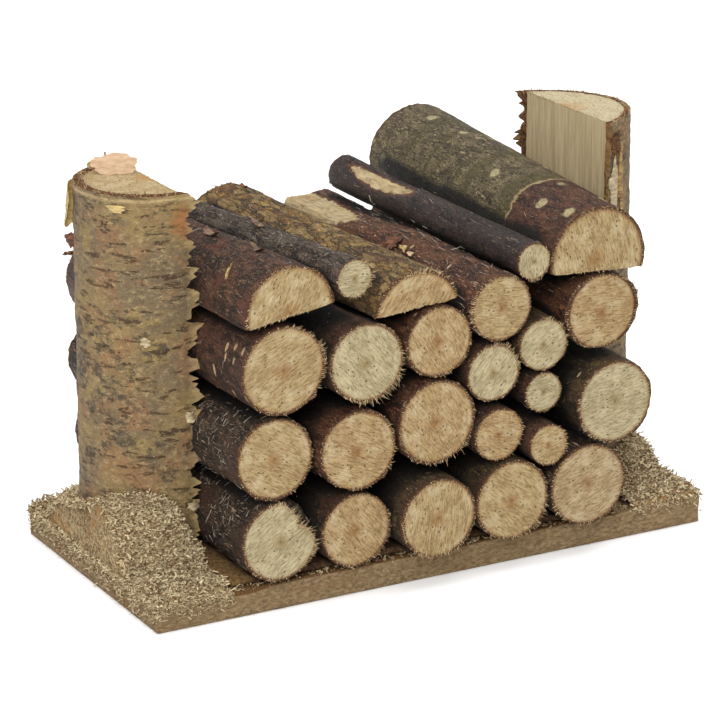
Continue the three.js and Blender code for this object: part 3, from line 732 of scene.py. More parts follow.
BARKS = {
    "plum": twig_bark(
        "plum_bark", (46, 32, 26), (82, 58, 47), (116, 88, 72), scratches=0.2, cracks=0.3, marks=0.4,
        mark_size=1.5, mark_tone=(178, 150, 112), sheen=0.5, dust=0.25,
    ),
    "hairy": twig_bark(
        "hairy_grey_bark", (36, 29, 24), (68, 55, 45), (112, 98, 82), scratches=0.7, sheen=0.7,
        stain=(82, 56, 38),
    ),
    "ridged": twig_bark(
        "ridged_grey_bark", (46, 38, 34), (80, 69, 61), (120, 107, 95), scratches=0.5, cracks=0.9,
        plates=0.5, plate=(0.7, 3.5), sheen=0.7,
    ),
    "ochre": twig_bark(
        "ochre_plated_bark", (76, 66, 54), (118, 96, 60), (164, 138, 84), cracks=0.7, plates=0.8,
        plate=(0.9, 2.3), stain=(104, 74, 52), sheen=0.75,
    ),
    "umber": twig_bark(
        "umber_bark", (36, 26, 19), (72, 54, 40), (112, 88, 64), cracks=0.8, sheen=0.7,
        stain=(92, 60, 42), dust=0.4,
    ),
    "peeling": twig_bark(
        "peeling_bark", (46, 33, 25), (84, 61, 47), (126, 98, 74), scratches=0.35, cracks=1.0,
        stain=(108, 64, 48), sheen=0.7, dust=0.35,
    ),
    "russet": twig_bark(
        "russet_bark", (50, 30, 23), (90, 60, 45), (136, 104, 78), scratches=0.6, cracks=0.7, marks=0.08,
        sheen=0.6, stain=(108, 72, 44),
    ),
    "smooth": twig_bark(
        "smooth_dark_bark", (38, 28, 28), (62, 49, 46), (92, 78, 73), scratches=0.25, cracks=0.4,
        marks=0.06, mark_size=0.6, mark_tone=(136, 124, 112), sheen=0.42, dust=0.25,
    ),
    "mossy": twig_bark(
        "mossy_grey_bark", (76, 68, 52), (102, 93, 73), (140, 130, 104), scratches=0.35, cracks=0.7,
        marks=0.42, mark_size=2.0, mark_slim=0.5, mark_tone=(164, 152, 112), sheen=0.6,
        young_end=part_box("log_e2")[0].y / MM + 13.5,
    ),
    "green": twig_bark(
        "green_brown_bark", (48, 40, 28), (82, 70, 47), (126, 110, 74), cracks=0.7, marks=0.12,
        sheen=0.65, stain=(84, 62, 42),
    ),
}

# Each log: bark, sawn wood, the way the saw dragged the fibres (degrees, from the right, as seen from its own
# front), how far the torn rim stands out in mm, and how rough its bark is in mm.
LOG_LOOKS = {
    "log_a1": ("hairy", CREAM, 35, 1.2, 0.10), "log_a2": ("umber", TAN, -50, 0.55, 0.10),
    "log_a3": ("green", STRAW, -100, 0.45, 0.10), "log_a4": ("green", STRAW, -40, 0.5, 0.08),
    "log_a5": ("hairy", ROSY, 200, 0.3, 0.08), "log_b1": ("hairy", STRAW, -30, 0.35, 0.10),
    "log_b2": ("russet", TAN, -25, 0.4, 0.12), "log_b3": ("russet", TAN, -55, 0.7, 0.12),
    "log_b4": ("umber", TAN, -20, 0.3, 0.08), "log_b5": ("umber", STRAW, 10, 0.3, 0.06),
    "log_c1": ("plum", STRAW, 25, 0.8, 0.05), "log_c2": ("umber", CREAM, -50, 1.1, 0.10),
    "log_c3": ("russet", TAN, -60, 0.35, 0.10), "log_c4": ("umber", CREAM, 50, 0.6, 0.08),
    "log_c5": ("umber", CREAM, 190, 0.35, 0.06), "log_c6": ("green", CREAM, 30, 0.45, 0.10),
    "log_c7": ("green", CREAM, 190, 0.45, 0.10), "log_d1": ("peeling", STRAW, 240, 0.3, 0.16),
    "log_d2": ("ridged", CREAM, 0, 0.6, 0.16), "log_d3": ("ochre", TAN, 55, 0.6, 0.14),
    "log_d4": ("russet", STRAW, 170, 0.6, 0.09), "log_d5": ("russet", TAN, 0, 0.45, 0.10),
    "log_e1": ("smooth", CREAM, 275, 0.35, 0.04), "log_e2": ("mossy", STRAW, 285, 0.35, 0.06),
}
# Where a knife bared the wood: the middle and half length as shares of the log from its front, then the
# middle and half width in degrees round it.
KNIFE_CUT = {"log_d4": (0.9, 0.27, 116, 62), "log_e1": (0.76, 0.2, 112, 54)}
# Where a rim broke away as the saw came through: the middle and half width in degrees, and the depth in mm.
BROKEN_RIM = {"log_a1": (38, 42, 1.9)}
OPEN = 14  # a gap in mm that leaves bark in full light
# Short pale hairs: how many, how long in mm, and which way they lie.
HAIRS_ON = {
    "log_a1": (520, 1.3, "across"), "log_b1": (620, 1.3, "across"), "log_d4": (420, 2.6, "along"),
    "log_b2": (160, 1.0, "any"), "log_d2": (200, 1.2, "any"), "log_d3": (120, 1.2, "along"),
    "log_d1": (90, 1.0, "any"), "log_e2": (70, 1.2, "along"), "log_e1": (60, 1.6, "along"),
}


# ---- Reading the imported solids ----
def corners_of(node):
    mesh = frame["nodes"][node].data
    rows = np.empty(len(mesh.vertices) * 3, np.float32)
    mesh.vertices.foreach_get("co", rows)
    return rows.reshape(-1, 3).astype(float) / MM


def surface_of(node):
    mesh = frame["nodes"][node].data
    return BVHTree.FromPolygons(
        [corner.co / MM for corner in mesh.vertices], [face.vertices[:] for face in mesh.polygons]
    )


def circle_through(points):
    """Centre and radius of the circle that most of the points lie on."""
    kept = points
    for _ in range(3):
        table = np.column_stack([2 * kept, np.ones(len(kept))])
        answer = np.linalg.lstsq(table, (kept ** 2).sum(1), rcond=None)[0]
        centre = answer[:2]
        radius = math.sqrt(answer[2] + centre @ centre)
        miss = np.abs(np.linalg.norm(points - centre, axis=1) - radius)
        kept = points[miss < max(0.25, np.percentile(miss, 60))]
    return centre, radius


class LogShape:
    """A log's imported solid, measured: its ends, and how far its surface stands from its middle line."""

    def __init__(self, node, stations, spokes):
        corners = corners_of(node)
        low, high = corners[:, 1].min(), corners[:, 1].max()
        self.ends = [corners[corners[:, 1] < low + 0.8], corners[corners[:, 1] > high - 0.8]]
        flats = [end[:, [0, 2]] for end in self.ends]
        self.middles = [(flat.min(0) + flat.max(0)) / 2 for flat in flats]
        self.piths, self.radii = zip(
            *[circle_through(np.unique(np.round(flat, 3), axis=0)) for flat in flats]
        )
        if node in KNIFE_CUT:
            self.piths, self.radii = (self.piths[0], self.middles[1]), (self.radii[0],) * 2
        self.cuts = []
        for end in self.ends:
            table = np.column_stack([end[:, 0], end[:, 2], np.ones(len(end))])
            self.cuts.append(np.linalg.lstsq(table, end[:, 1], rcond=None)[0])
        self.turn = 2 * np.pi * np.arange(spokes) / spokes
        surface = surface_of(node)
        measured = np.linspace(0, 1, stations)
        rows = []
        for share in measured:
            x, z = self.middle(share)
            y = np.clip(low + share * (high - low), low + 0.9, high - 0.9)
            spot, outward = Vector((x, y, z)), [Vector((math.cos(t), 0, math.sin(t))) for t in self.turn]
            rows.append([surface.ray_cast(spot, way)[3] or 0.1 for way in outward])
        self.measured, self.reach = measured, np.array(rows)

    def middle(self, share):
        return self.middles[0] * (1 - share) + self.middles[1] * share

    def skin(self, shares):
        """Distance to the surface at each share of the length and each spoke, with flats and facets eased."""
        rows = np.array([np.interp(shares, self.measured, column) for column in self.reach.T]).T
        weights = {-2: 0.15, -1: 0.2, 0: 0.3, 1: 0.2, 2: 0.15}
        eased = sum(np.roll(rows, step, 1) * weight for step, weight in weights.items())
        return np.where(np.abs(eased - rows) > 0.12, rows, eased)

    def place(self, share, x, z):
        """How far back a point lies: the two sawn ends aren't quite square."""
        front = self.cuts[0][0] * x + self.cuts[0][1] * z + self.cuts[0][2]
        back = self.cuts[1][0] * x + self.cuts[1][1] * z + self.cuts[1][2]
        return front * (1 - share) + back * share


def sawn_section(points, pith, angle):
    """Each point's place on a sawn end, turned so that the saw's drag is the first number."""
    x, z = points[..., 0] - pith[0], points[..., 2] - pith[1]
    turn = math.radians(angle)
    along = x * math.cos(turn) + z * math.sin(turn)
    across = z * math.cos(turn) - x * math.sin(turn)
    return np.stack([along, across, points[..., 1]], -1)


def torn_rim(heap, rim, forward, angle, tear, seed):
    """Fibres that the saw dragged over the rim of a sawn end."""
    pick = chance(seed)
    middle = rim.mean(0)
    count = int(40 + 20 * np.linalg.norm(rim[0] - middle) + 110 * tear)
    spots = pick.integers(0, len(rim), count)
    out = unit((rim[spots] - middle) * [1, 0, 1])
    drag = np.array([math.cos(math.radians(angle)), 0, math.sin(math.radians(angle))])
    facing = np.clip(out @ drag, -0.2, 1)
    lengths = (0.16 + 0.8 * tear * np.clip(facing, 0, 1) ** 1.5) * pick.uniform(0.4, 1.1, count)
    ways = out * 0.6 + drag * np.clip(facing, 0, 1)[:, None] * 0.9 + pick.normal(0, 0.22, (count, 3))
    ways[:, 1] = forward * pick.uniform(-0.1, 0.5, count)
    roots = rim[spots] - out * pick.uniform(0.02, 0.5, count)[:, None]
    roots[:, 1] += forward * 0.03
    bends = pick.normal(0, 0.25, (count, 3))
    widths = pick.uniform(0.12, 0.3, count)
    heap.bristle(2, roots, ways, lengths, widths, bends, pick.uniform(0.25, 1.0, count), tip=0.2)


def surface_hairs(heap, grid, count, length, lie, seed):
    """Short pale hairs lying on the bark."""
    pick = chance(seed)
    rows, columns = grid.shape[:2]
    row, column = pick.integers(3, rows - 4, count), pick.integers(0, columns, count)
    roots = grid[row, column]
    out = unit((roots - grid[row].mean(1)) * [1, 0, 1])
    leaning = {"along": [0.25, 1.6, 0.25], "across": [1.5, 0.5, 1.5], "any": [1, 1, 1]}[lie]
    ways = pick.normal(0, 1, (count, 3)) * leaning
    ways -= out * (ways * out).sum(1, keepdims=True)
    bends = pick.normal(0, 0.12 if lie == "along" else 0.25, (count, 3))
    bends -= out * (bends * out).sum(1, keepdims=True) + out * 0.02
    lengths = pick.uniform(0.3, 1.0, count) * length
    widths = pick.uniform(0.06, 0.13, count)
    heap.bristle(
        3, roots + out * 0.07, ways, lengths, widths, bends, pick.uniform(0.3, 1.0, count), tip=0.4
    )


def neighbours_of(node):
    """The surfaces of the other logs whose boxes come near a log's own."""
    low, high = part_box(node)
    reach = 3 * MM
    near = []
    for other in LOG_LOOKS:
        start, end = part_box(other)
        close = [start[axis] < high[axis] + reach and end[axis] > low[axis] - reach for axis in (0, 2)]
        if other != node and all(close):
            near.append(surface_of(other))
    return near


def box_of(node):
    """The low and high corners of a node's box, in millimetres."""
    return [np.array(corner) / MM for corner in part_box(node)]


def gap_shade_of(node, grid, out, from_end):
    """How near other logs hem each point of the bark in, less so towards the ends: the strength of the
    painted shade on bark between the logs of the pile.
    """
    rows, spokes = grid.shape[:2]
    hemmed = np.zeros((rows, spokes))
    for row in range(0, rows, 3):
        for spoke in range(0, spokes, 2):
            spot = grid[row, spoke] + out[spoke] * 0.15
            gaps = [near.ray_cast(Vector(spot), Vector(out[spoke]), OPEN)[3] or OPEN for near in PILE[node]]
            hemmed[row:row + 3, spoke:spoke + 2] = 1 - min(gaps) / OPEN
    open_end = np.clip((from_end - 0.8) / 4.5, 0, 1)
    hemmed = np.clip(hemmed * 1.25 - 0.1, 0, 1) * (0.12 + 0.88 * open_end)
    return sum(np.roll(hemmed, step, 1) for step in (0, 2, -2, 1, -1)) / 5


def sawn_cap(shape, rim, end, angle, seed):
    """Rings of points over a sawn end, from the pith out to just inside the rim."""
    rings = max(6, int(np.linalg.norm(rim[0] - rim.mean(0)) / (0.28 if end == 0 else 0.7)))
    steps = np.linspace(0.04, 1, rings, endpoint=False)
    middle = np.array([shape.middles[end][0], 0, shape.middles[end][1]])
    disc = middle + (rim * [1, 0, 1] - middle) * steps[:, None, None]
    disc[..., 1] = shape.place(end, disc[..., 0], disc[..., 2])
    turned = sawn_section(disc, shape.piths[end], angle)
    fuzz = lumps(turned * [1, 1, 0], (1.1, 0.32, 1), seed + 5) * 0.09
    disc[..., 1] += fuzz + lumps(disc * [1, 0, 1], 0.3, seed + 6) * 0.05 + 0.03
    return disc


def build_log(node, seed):
    """A log: bark with its own relief, sawn ends, torn rims and hairs."""
    bark, wood, angle, tear, rough = LOG_LOOKS[node]
    low, high = box_of(node)
    girth = math.pi * (high[0] - low[0] + high[2] - low[2]) / 2
    spokes = int(np.clip(girth / 0.28, 60, 136))
    rows = int((high[1] - low[1]) / 0.42)
    shape = LogShape(node, 30, spokes)
    shares = np.linspace(0, 1, rows)
    reach = shape.skin(shares)
    middles = np.array([shape.middle(share) for share in shares])
    x = middles[:, :1] + reach * np.cos(shape.turn)
    z = middles[:, 1:] + reach * np.sin(shape.turn)
    grid = np.stack([x, shape.place(shares[:, None], x, z), z], -1)
    # relief
    wavy = 0.5 * lumps(grid, (2.6, 7, 2.6), seed) + 0.3 * lumps(grid, (0.9, 2.4, 0.9), seed + 1)
    grow = rough * 2.2 * (wavy + 0.25 * lumps(grid, 0.55, seed + 2))
    from_end = np.minimum(shares, 1 - shares)[:, None] * (high[1] - low[1])
    ragged = lumps(grid * [1, 0, 1] + [0, seed, 0], 0.5, seed + 3)
    grow = grow + np.clip(1 - from_end / 0.5, 0, 1) * 0.09 * ragged
    bared = np.zeros(reach.shape)
    if node in KNIFE_CUT:
        centre, half, facing, width = KNIFE_CUT[node]
        off = np.hypot((shares[:, None] - centre) / half, (np.degrees(shape.turn) - facing) / width)
        bared = np.clip(1.6 * (1.12 - off), 0, 1)
        grow = grow * (1 - 0.8 * bared) - 0.3 * np.clip(3 * (1 - off), 0, 1)
    if node in BROKEN_RIM:
        facing, width, depth = BROKEN_RIM[node]
        off = np.abs((np.degrees(shape.turn) - facing + 180) % 360 - 180) / width
        chipped = np.clip(1.15 - off, 0, 1) ** 0.7 * (1 + 0.25 * ragged)
        grow = grow - depth * chipped * np.clip(1 - shares[:, None] * (high[1] - low[1]) / 2.6, 0, 1)
    out = np.stack([np.cos(shape.turn), np.zeros(spokes), np.sin(shape.turn)], -1)
    grid = grid + out * grow[..., None]
    # painted shade between logs: how near other logs hem in each point of the bark
    hemmed = gap_shade_of(node, grid, out, from_end)
    angles = angle, 180 - angle
    caps = [sawn_cap(shape, grid[-end], end, angles[end], seed) for end in (0, 1)]

    def carried(rows, on_ends=0.0):
        """A note of the bark, with one value on all of both sawn ends."""
        ends = [np.full((len(cap), spokes), on_ends) for cap in caps]
        return np.concatenate([ends[0], rows, ends[1]]).ravel()

    whole = np.concatenate([caps[0], grid, caps[1][::-1]])
    count = len(whole)
    faces = [list(face)[::-1] for face in grid_faces(count, spokes, closed=True)]
    kinds = [1] * len(caps[0]) * spokes + [0] * (rows - 1) * spokes + [1] * (len(caps[1]) * spokes + 2)
    faces += [list(range(spokes)), [(count - 1) * spokes + n for n in range(spokes)][::-1]]
    half = len(caps[0]) + rows // 2
    halves = whole[:half], whole[half:]
    section = np.concatenate([sawn_section(halves[end], shape.piths[end], angles[end]) for end in (0, 1)])
    radius = np.repeat([shape.radii[0]] * half + [shape.radii[1]] * (count - half), spokes)
    fray = np.clip(1.2 - from_end / 0.45, 0, 1) * np.ones(spokes)
    heap = Heap()
    notes = dict(bared=carried(bared), hemmed=carried(hemmed), frayed=carried(fray, 1.0), radius=radius)
    heap.put(whole, faces, kinds, section=section.reshape(-1, 3), **notes)
    torn_rim(heap, grid[0], -1.0, angles[0], tear, seed + 10)
    torn_rim(heap, grid[-1], 1.0, angles[1], 0.4, seed + 11)
    surface_hairs(heap, grid, *HAIRS_ON.get(node, (45, 0.9, "any")), seed + 20)
    heap.piece(
        node.replace("log", "twig_log"), frame_slot(node), [BARKS[bark], wood, FIBRES, HAIRS], [node],
        sharp=50,
    )
    return grid


def frame_slot(node):
    """The material slot that the record gives a node."""
    return next(part["material_slot"] for part in frame["record"]["subparts"] if part["node"] == node)


PILE = {name: neighbours_of(name) for name in LOG_LOOKS}
SKINS = {name: build_log(name, 100 * (number + 1)) for number, name in enumerate(LOG_LOOKS)}


# ---- Posts ----
POST_BARK = {
    "left": papery_bark("pale_papery_bark", (134, 111, 73), (112, 95, 70), (136, 99, 66), 1.0),
    "right": papery_bark("grey_tan_bark", (122, 100, 68), (92, 76, 56), (134, 96, 58), 0.8, (132, 92, 44)),
}
CORK = cork()
SPLIT = split_face("split_face", (178, 161, 126), (150, 130, 94))
POST_TOP = {
    "left": sawn_end("sawn_left_top", (180, 159, 120), (138, 114, 76)),
    "right": sawn_end("sawn_right_top", (194, 183, 152), (162, 146, 112)),
}
PALE_PAPER = paper_flake("peach_paper", (184, 156, 126), (168, 138, 106))
YELLOW_PAPER = paper_flake("yellow_paper", (178, 156, 104), (148, 122, 74))
OCHRE_PAPER = paper_flake("ochre_paper", (160, 128, 76), (106, 78, 44))
WHITE_PAPER = paper_flake("white_paper", (176, 160, 128), (132, 116, 88))
RUST_PAPER = paper_flake("rust_paper", (116, 70, 40), (64, 38, 22))
SCALE_PAPER = paper_flake("lifted_bark", (122, 96, 74), (70, 50, 38))


BARK_THICK = {"left": 1.5, "right": 0.95}


class PostShape:
    """A half-round post's bark outline, from its packed box: centre, radius and where its flat face is."""

    def __init__(self, side):
        self.low, self.high = box_of(side + "_post_bark")
        self.way = -1 if side == "left" else 1
        self.flat = self.high[0] if side == "left" else self.low[0]
        self.rise = self.high[0] - self.low[0]
        self.chord = self.high[1] - self.low[1]
        self.radius = (self.chord ** 2 / 4 + self.rise ** 2) / (2 * self.rise)
        self.y = (self.low[1] + self.high[1]) / 2
        self.x = self.flat + self.way * (self.rise - self.radius)
        self.half = math.acos(np.clip((self.radius - self.rise) / self.radius, -1, 1))
        corners = corners_of(side + "_post_bark")
        top = corners[corners[:, 2] > self.high[2] - 4]
        table = np.column_stack([top[:, 1], np.ones(len(top))])
        self.slope, self.top = np.linalg.lstsq(table, top[:, 2], rcond=None)[0]

    def at(self, run, sink=0.0):
        """The point at an arc length from the middle of the curve, front negative, and the way out there.
        Beyond the flat face the bark goes straight on."""
        limit = self.half * self.radius
        held = np.clip(run, -limit, limit)
        angle = held / self.radius
        out = np.stack([self.way * np.cos(angle), np.sin(angle), np.zeros_like(angle)], -1)
        on = np.stack([-self.way * np.sin(angle), np.cos(angle), np.zeros_like(angle)], -1)
        base = np.stack(
            [np.full_like(angle, self.x), np.full_like(angle, self.y), np.zeros_like(angle)], -1
        )
        return base + out * (self.radius - sink) + on * (run - held)[..., None], out

    def height(self, y):
        return self.slope * y + self.top


def torn_edge(heights, pitch, least, most, seed):
    """How far torn bark reaches past the split at each height: uneven teeth, with smaller ones on them."""
    pick = chance(seed)
    reach = np.zeros_like(heights)
    for size, weight in ((1.7, 0.75), (0.6, 0.32)):
        edges = [heights.min() - 1]
        while edges[-1] < heights.max() + 1:
            tooth = pick.choice([0.5, 0.8, 1.1, 1.6], p=[0.25, 0.3, 0.25, 0.2])
            edges.append(edges[-1] + tooth * pitch * size)
        for low, high in zip(edges, edges[1:]):
            inside = (heights >= low) & (heights < high)
            share = (heights[inside] - low) / (high - low)
            lean = pick.choice([0.12, 0.3, 0.7, 0.88])
            bump = np.where(share < lean, share / lean, (1 - share) / (1 - lean))
            reach[inside] += weight * pick.uniform(0.25, 1.0) * (most - least) * np.clip(bump, 0, 1) ** 0.65
    line = np.stack([heights * 0, heights * 0, heights], -1)
    return least + reach + 0.35 * lumps(line, 6.0, seed + 1) + 0.16 * lumps(line, 0.45, seed + 2)


def build_post_bark(side, front_teeth, back_teeth, seed, upper=math.inf):
    """The bark of a post: a papery skin over crumbly inner bark, torn along both split edges. Below the upper
    millimetres the back edge is hardly torn."""
    post = PostShape(side)
    down, around, thick = 240, 130, BARK_THICK[side]
    heights = np.linspace(0, 1, down)[:, None]
    base = post.low[2]
    level = base + heights * (post.top - base)
    limit = post.half * post.radius
    front = limit + torn_edge(level[:, 0], *front_teeth, seed)
    torn = np.clip((level[:, 0] - post.top + upper) / 1.5, 0.2, 1)
    back = limit + torn_edge(level[:, 0], *back_teeth, seed + 5) * torn
    share = np.linspace(0, 1, around)
    run = -front[:, None] * (1 - share) + back[:, None] * share
    skin, out = post.at(run)
    skin[..., 2] = base + heights * (post.height(skin[..., 1]) - base)
    rough = 0.14 * lumps(skin, (3, 3, 2.2), seed + 2) + 0.06 * lumps(skin, (1, 1, 0.5), seed + 3) - 0.16
    past = np.clip((np.abs(run) - limit) / 1.2, 0, 1)
    flutter = past * (0.35 * lumps(skin, (4, 4, 1.3), seed + 4) - 0.1)
    skin = skin + out * (rough + flutter)[..., None]
    inner = skin - out * (0.14 + (thick - 0.14) * np.clip(1 - past * 3, 0, 1))[..., None]
    inner[..., 2] += 0.05 * lumps(inner, 0.5, seed + 6)
    top_edge = skin[-1] - out[-1] * 0.16
    heap = Heap()
    # only the left post has a peeled corner, and a pale hem under its top
    peeled = np.hypot((run + limit * 0.98) / 2.6, (skin[..., 2] - post.top + 3.4) / 3.6)
    peeled = np.clip(1.1 - peeled, 0, 1) * (side == "left")
    frayed = np.clip((np.abs(run) - limit - 0.2) / 1.6, 0, 1)
    hem = np.abs(post.height(skin[..., 1]) - skin[..., 2] - 0.5)
    hem = np.clip(1.2 - hem / 0.3, 0, 1) * (side == "left")
    mark = dict(peeled=peeled.ravel(), frayed=frayed.ravel(), hem=hem.ravel())
    turn = slice(None, None, -1) if post.way > 0 else slice(None)
    order = [list(face)[turn] for face in grid_faces(down, around)]
    heap.put(skin, order, 0, **mark)
    beyond = [0 if past.ravel()[face].min() > 0.1 else 1 for face in grid_faces(down, around)]
    heap.put(inner, [face[::-1] for face in order], beyond, **mark)
    # crumbly top, and the edges between skin and inner face
    steps = np.linspace(0, 1, 7)[:, None, None]
    crumb = top_edge * (1 - steps) + inner[-1] * steps
    crumb[..., 2] += 0.28 * lumps(crumb, 0.45, seed + 7) * np.sin(np.pi * steps[..., 0]) + 0.05
    crumb = np.concatenate([skin[-1:], crumb])
    kinds = [0] * (around - 1) + [1] * (6 * (around - 1))
    heap.put(crumb, [list(face)[turn] for face in grid_faces(8, around)], kinds)
    for column in (0, -1):
        strip = np.stack([skin[:, column], inner[:, column]])
        heap.put(strip, grid_faces(2, down), 0, frayed=np.ones(2 * down))
    foot = np.stack([skin[0], inner[0]])
    heap.put(foot, grid_faces(2, around), 1)
    # crumbs and fibres on the sawn top
    pick = chance(seed + 8)
    count = 260
    spots = pick.integers(4, around - 4, count)
    roots = crumb[pick.integers(2, 7, count), spots]
    ways = pick.normal(0, 1, (count, 3)) + [0, 0, 0.6]
    lengths, widths = pick.uniform(0.2, 0.6, count), pick.uniform(0.1, 0.25, count)
    bends = pick.normal(0, 0.5, (count, 3))
    heap.bristle(2, roots, ways, lengths, widths, bends, pick.uniform(0, 0.75, count), tip=0.3)
    heap.piece(
        side + "_post_bark_skin", "pale_bark", [POST_BARK[side], CORK, FIBRES], [side + "_post_bark"],
        sharp=50,
    )
    return post


def build_post_wood(side, seed):
    """The split wood of a post: a sawn top, and a flat face with long grain."""
    post = PostShape(side)
    sink = BARK_THICK[side] + 0.05
    radius = post.radius - sink
    rise = post.rise - sink
    half = math.acos(np.clip((radius - rise) / radius, -1, 1))
    base = post.low[2]
    angles = np.linspace(-half, half, 60)
    curve = np.stack([post.x + post.way * radius * np.cos(angles), post.y + radius * np.sin(angles)], -1)
    chord = np.linspace(curve[-1], curve[0], 74)[1:-1]
    outline = np.concatenate([curve, chord])
    down = 120
    share = np.linspace(0, 1, down)[:, None]
    grid = np.empty((down, len(outline), 3))
    grid[..., 0], grid[..., 1] = outline[:, 0], outline[:, 1]
    grid[..., 2] = base + share * (post.height(grid[..., 1]) - base)
    flat = np.zeros(len(outline))
    flat[60:] = 1
    groove = 0.09 * lumps(grid, (0.5, 0.5, 14), seed) + 0.07 * lumps(grid, (1.6, 1.6, 22), seed + 1) - 0.1
    grid[..., 0] += post.way * (-groove) * flat
    middle = outline.mean(0)
    rings = 26
    steps = np.linspace(1, 0.03, rings)[1:, None, None]
    disc = np.empty((rings - 1, len(outline), 3))
    disc[..., :2] = middle + (outline - middle) * steps
    disc[..., 2] = 0
    fuzz = 0.07 * lumps(disc, (0.9, 0.4, 1), seed + 2) + 0.05 * lumps(disc, 0.35, seed + 3)
    disc[..., 2] = post.height(disc[..., 1]) + fuzz
    whole = np.concatenate([grid, disc])
    count, wide = len(whole), len(outline)
    heap = Heap()
    faces = [
        list(face) if post.way > 0 else list(face)[::-1] for face in grid_faces(count, wide, closed=True)
    ]
    kinds = [0] * ((down - 1) * wide) + [1] * ((rings - 1) * wide)
    cap = [(count - 1) * wide + n for n in range(wide)]
    foot = list(range(wide))
    faces += [cap if post.way > 0 else cap[::-1], foot[::-1] if post.way > 0 else foot]
    kinds += [1, 0]
    turned = np.stack([whole[..., 1] - post.y, whole[..., 0] - post.flat, whole[..., 2]], -1)
    heap.put(
        whole, faces, kinds, section=turned.reshape(-1, 3), radius=np.full(count * wide, radius * 1.12)
    )
    # fibres standing up along the edge of the top
    pick = chance(seed + 4)
    number = 150
    spots = pick.integers(0, wide, number)
    roots = grid[-1][spots] - [0, 0, 0.1]
    ways = pick.normal(0, 0.5, (number, 3)) + [0, 0, 0.9]
    lengths, widths = pick.uniform(0.15, 0.5, number), pick.uniform(0.08, 0.18, number)
    bends = pick.normal(0, 0.4, (number, 3))
    heap.bristle(2, roots, ways, lengths, widths, bends, pick.uniform(0.4, 1, number))
    heap.piece(
        side + "_post_split_wood", "split_wood", [SPLIT, POST_TOP[side], FIBRES], [side + "_post_wood"],
        sharp=50,
    )


def curled_flake(name, paper, middle, across, up, wide, tall, curl, seed, ragged=1.0, slot="pale_bark"):
    """A thin torn flake of bark: across and up are its directions, curl how far its edges bend, in mm."""
    across, up = unit(np.array(across, float)), unit(np.array(up, float))
    out = np.cross(across, up)
    columns, rows = 26, 22
    u, v = np.meshgrid(np.linspace(-1, 1, columns), np.linspace(-1, 1, rows))
    ring = np.arctan2(v, u)
    shape = np.stack([np.cos(ring), np.sin(ring), ring * 0], -1)
    squeeze = 1 + ragged * (0.3 * lumps(shape, 0.45, seed) + 0.2 * lumps(shape, 0.18, seed + 1))
    share = np.maximum(np.abs(u), np.abs(v)) / np.maximum(np.hypot(u, v), 1e-6)
    x, y = u * share * squeeze * wide / 2, v * share * squeeze * tall / 2
    depth = curl * (u * share) ** 2 + 0.3 * curl * (v * share) * (u * share)
    points = np.array(middle, float) + x[..., None] * across + y[..., None] * up + depth[..., None] * out
    points = points + out * (0.1 * lumps(points, 1.2, seed + 2))[..., None]
    heap = Heap()
    faces = grid_faces(rows, columns)
    heap.put(points, faces, 0)
    heap.put(points - out * 0.12, [list(face)[::-1] for face in faces], 0)
    edge = np.concatenate([points[0], points[1:, -1], points[-1, -2::-1], points[-2:0:-1, 0]])
    heap.put(np.stack([edge, edge - out * 0.12]), grid_faces(2, len(edge), closed=True), 0)
    heap.piece(name, slot, [paper])


left_post = build_post_bark("left", (1.7, -0.5, 4.0), (2.4, 0.2, 1.4), 5000)
right_post = build_post_bark("right", (2.6, 0.0, 0.7), (2.4, -0.6, 4.4), 5100, 9)
build_post_wood("left", 5200)
build_post_wood("right", 5300)


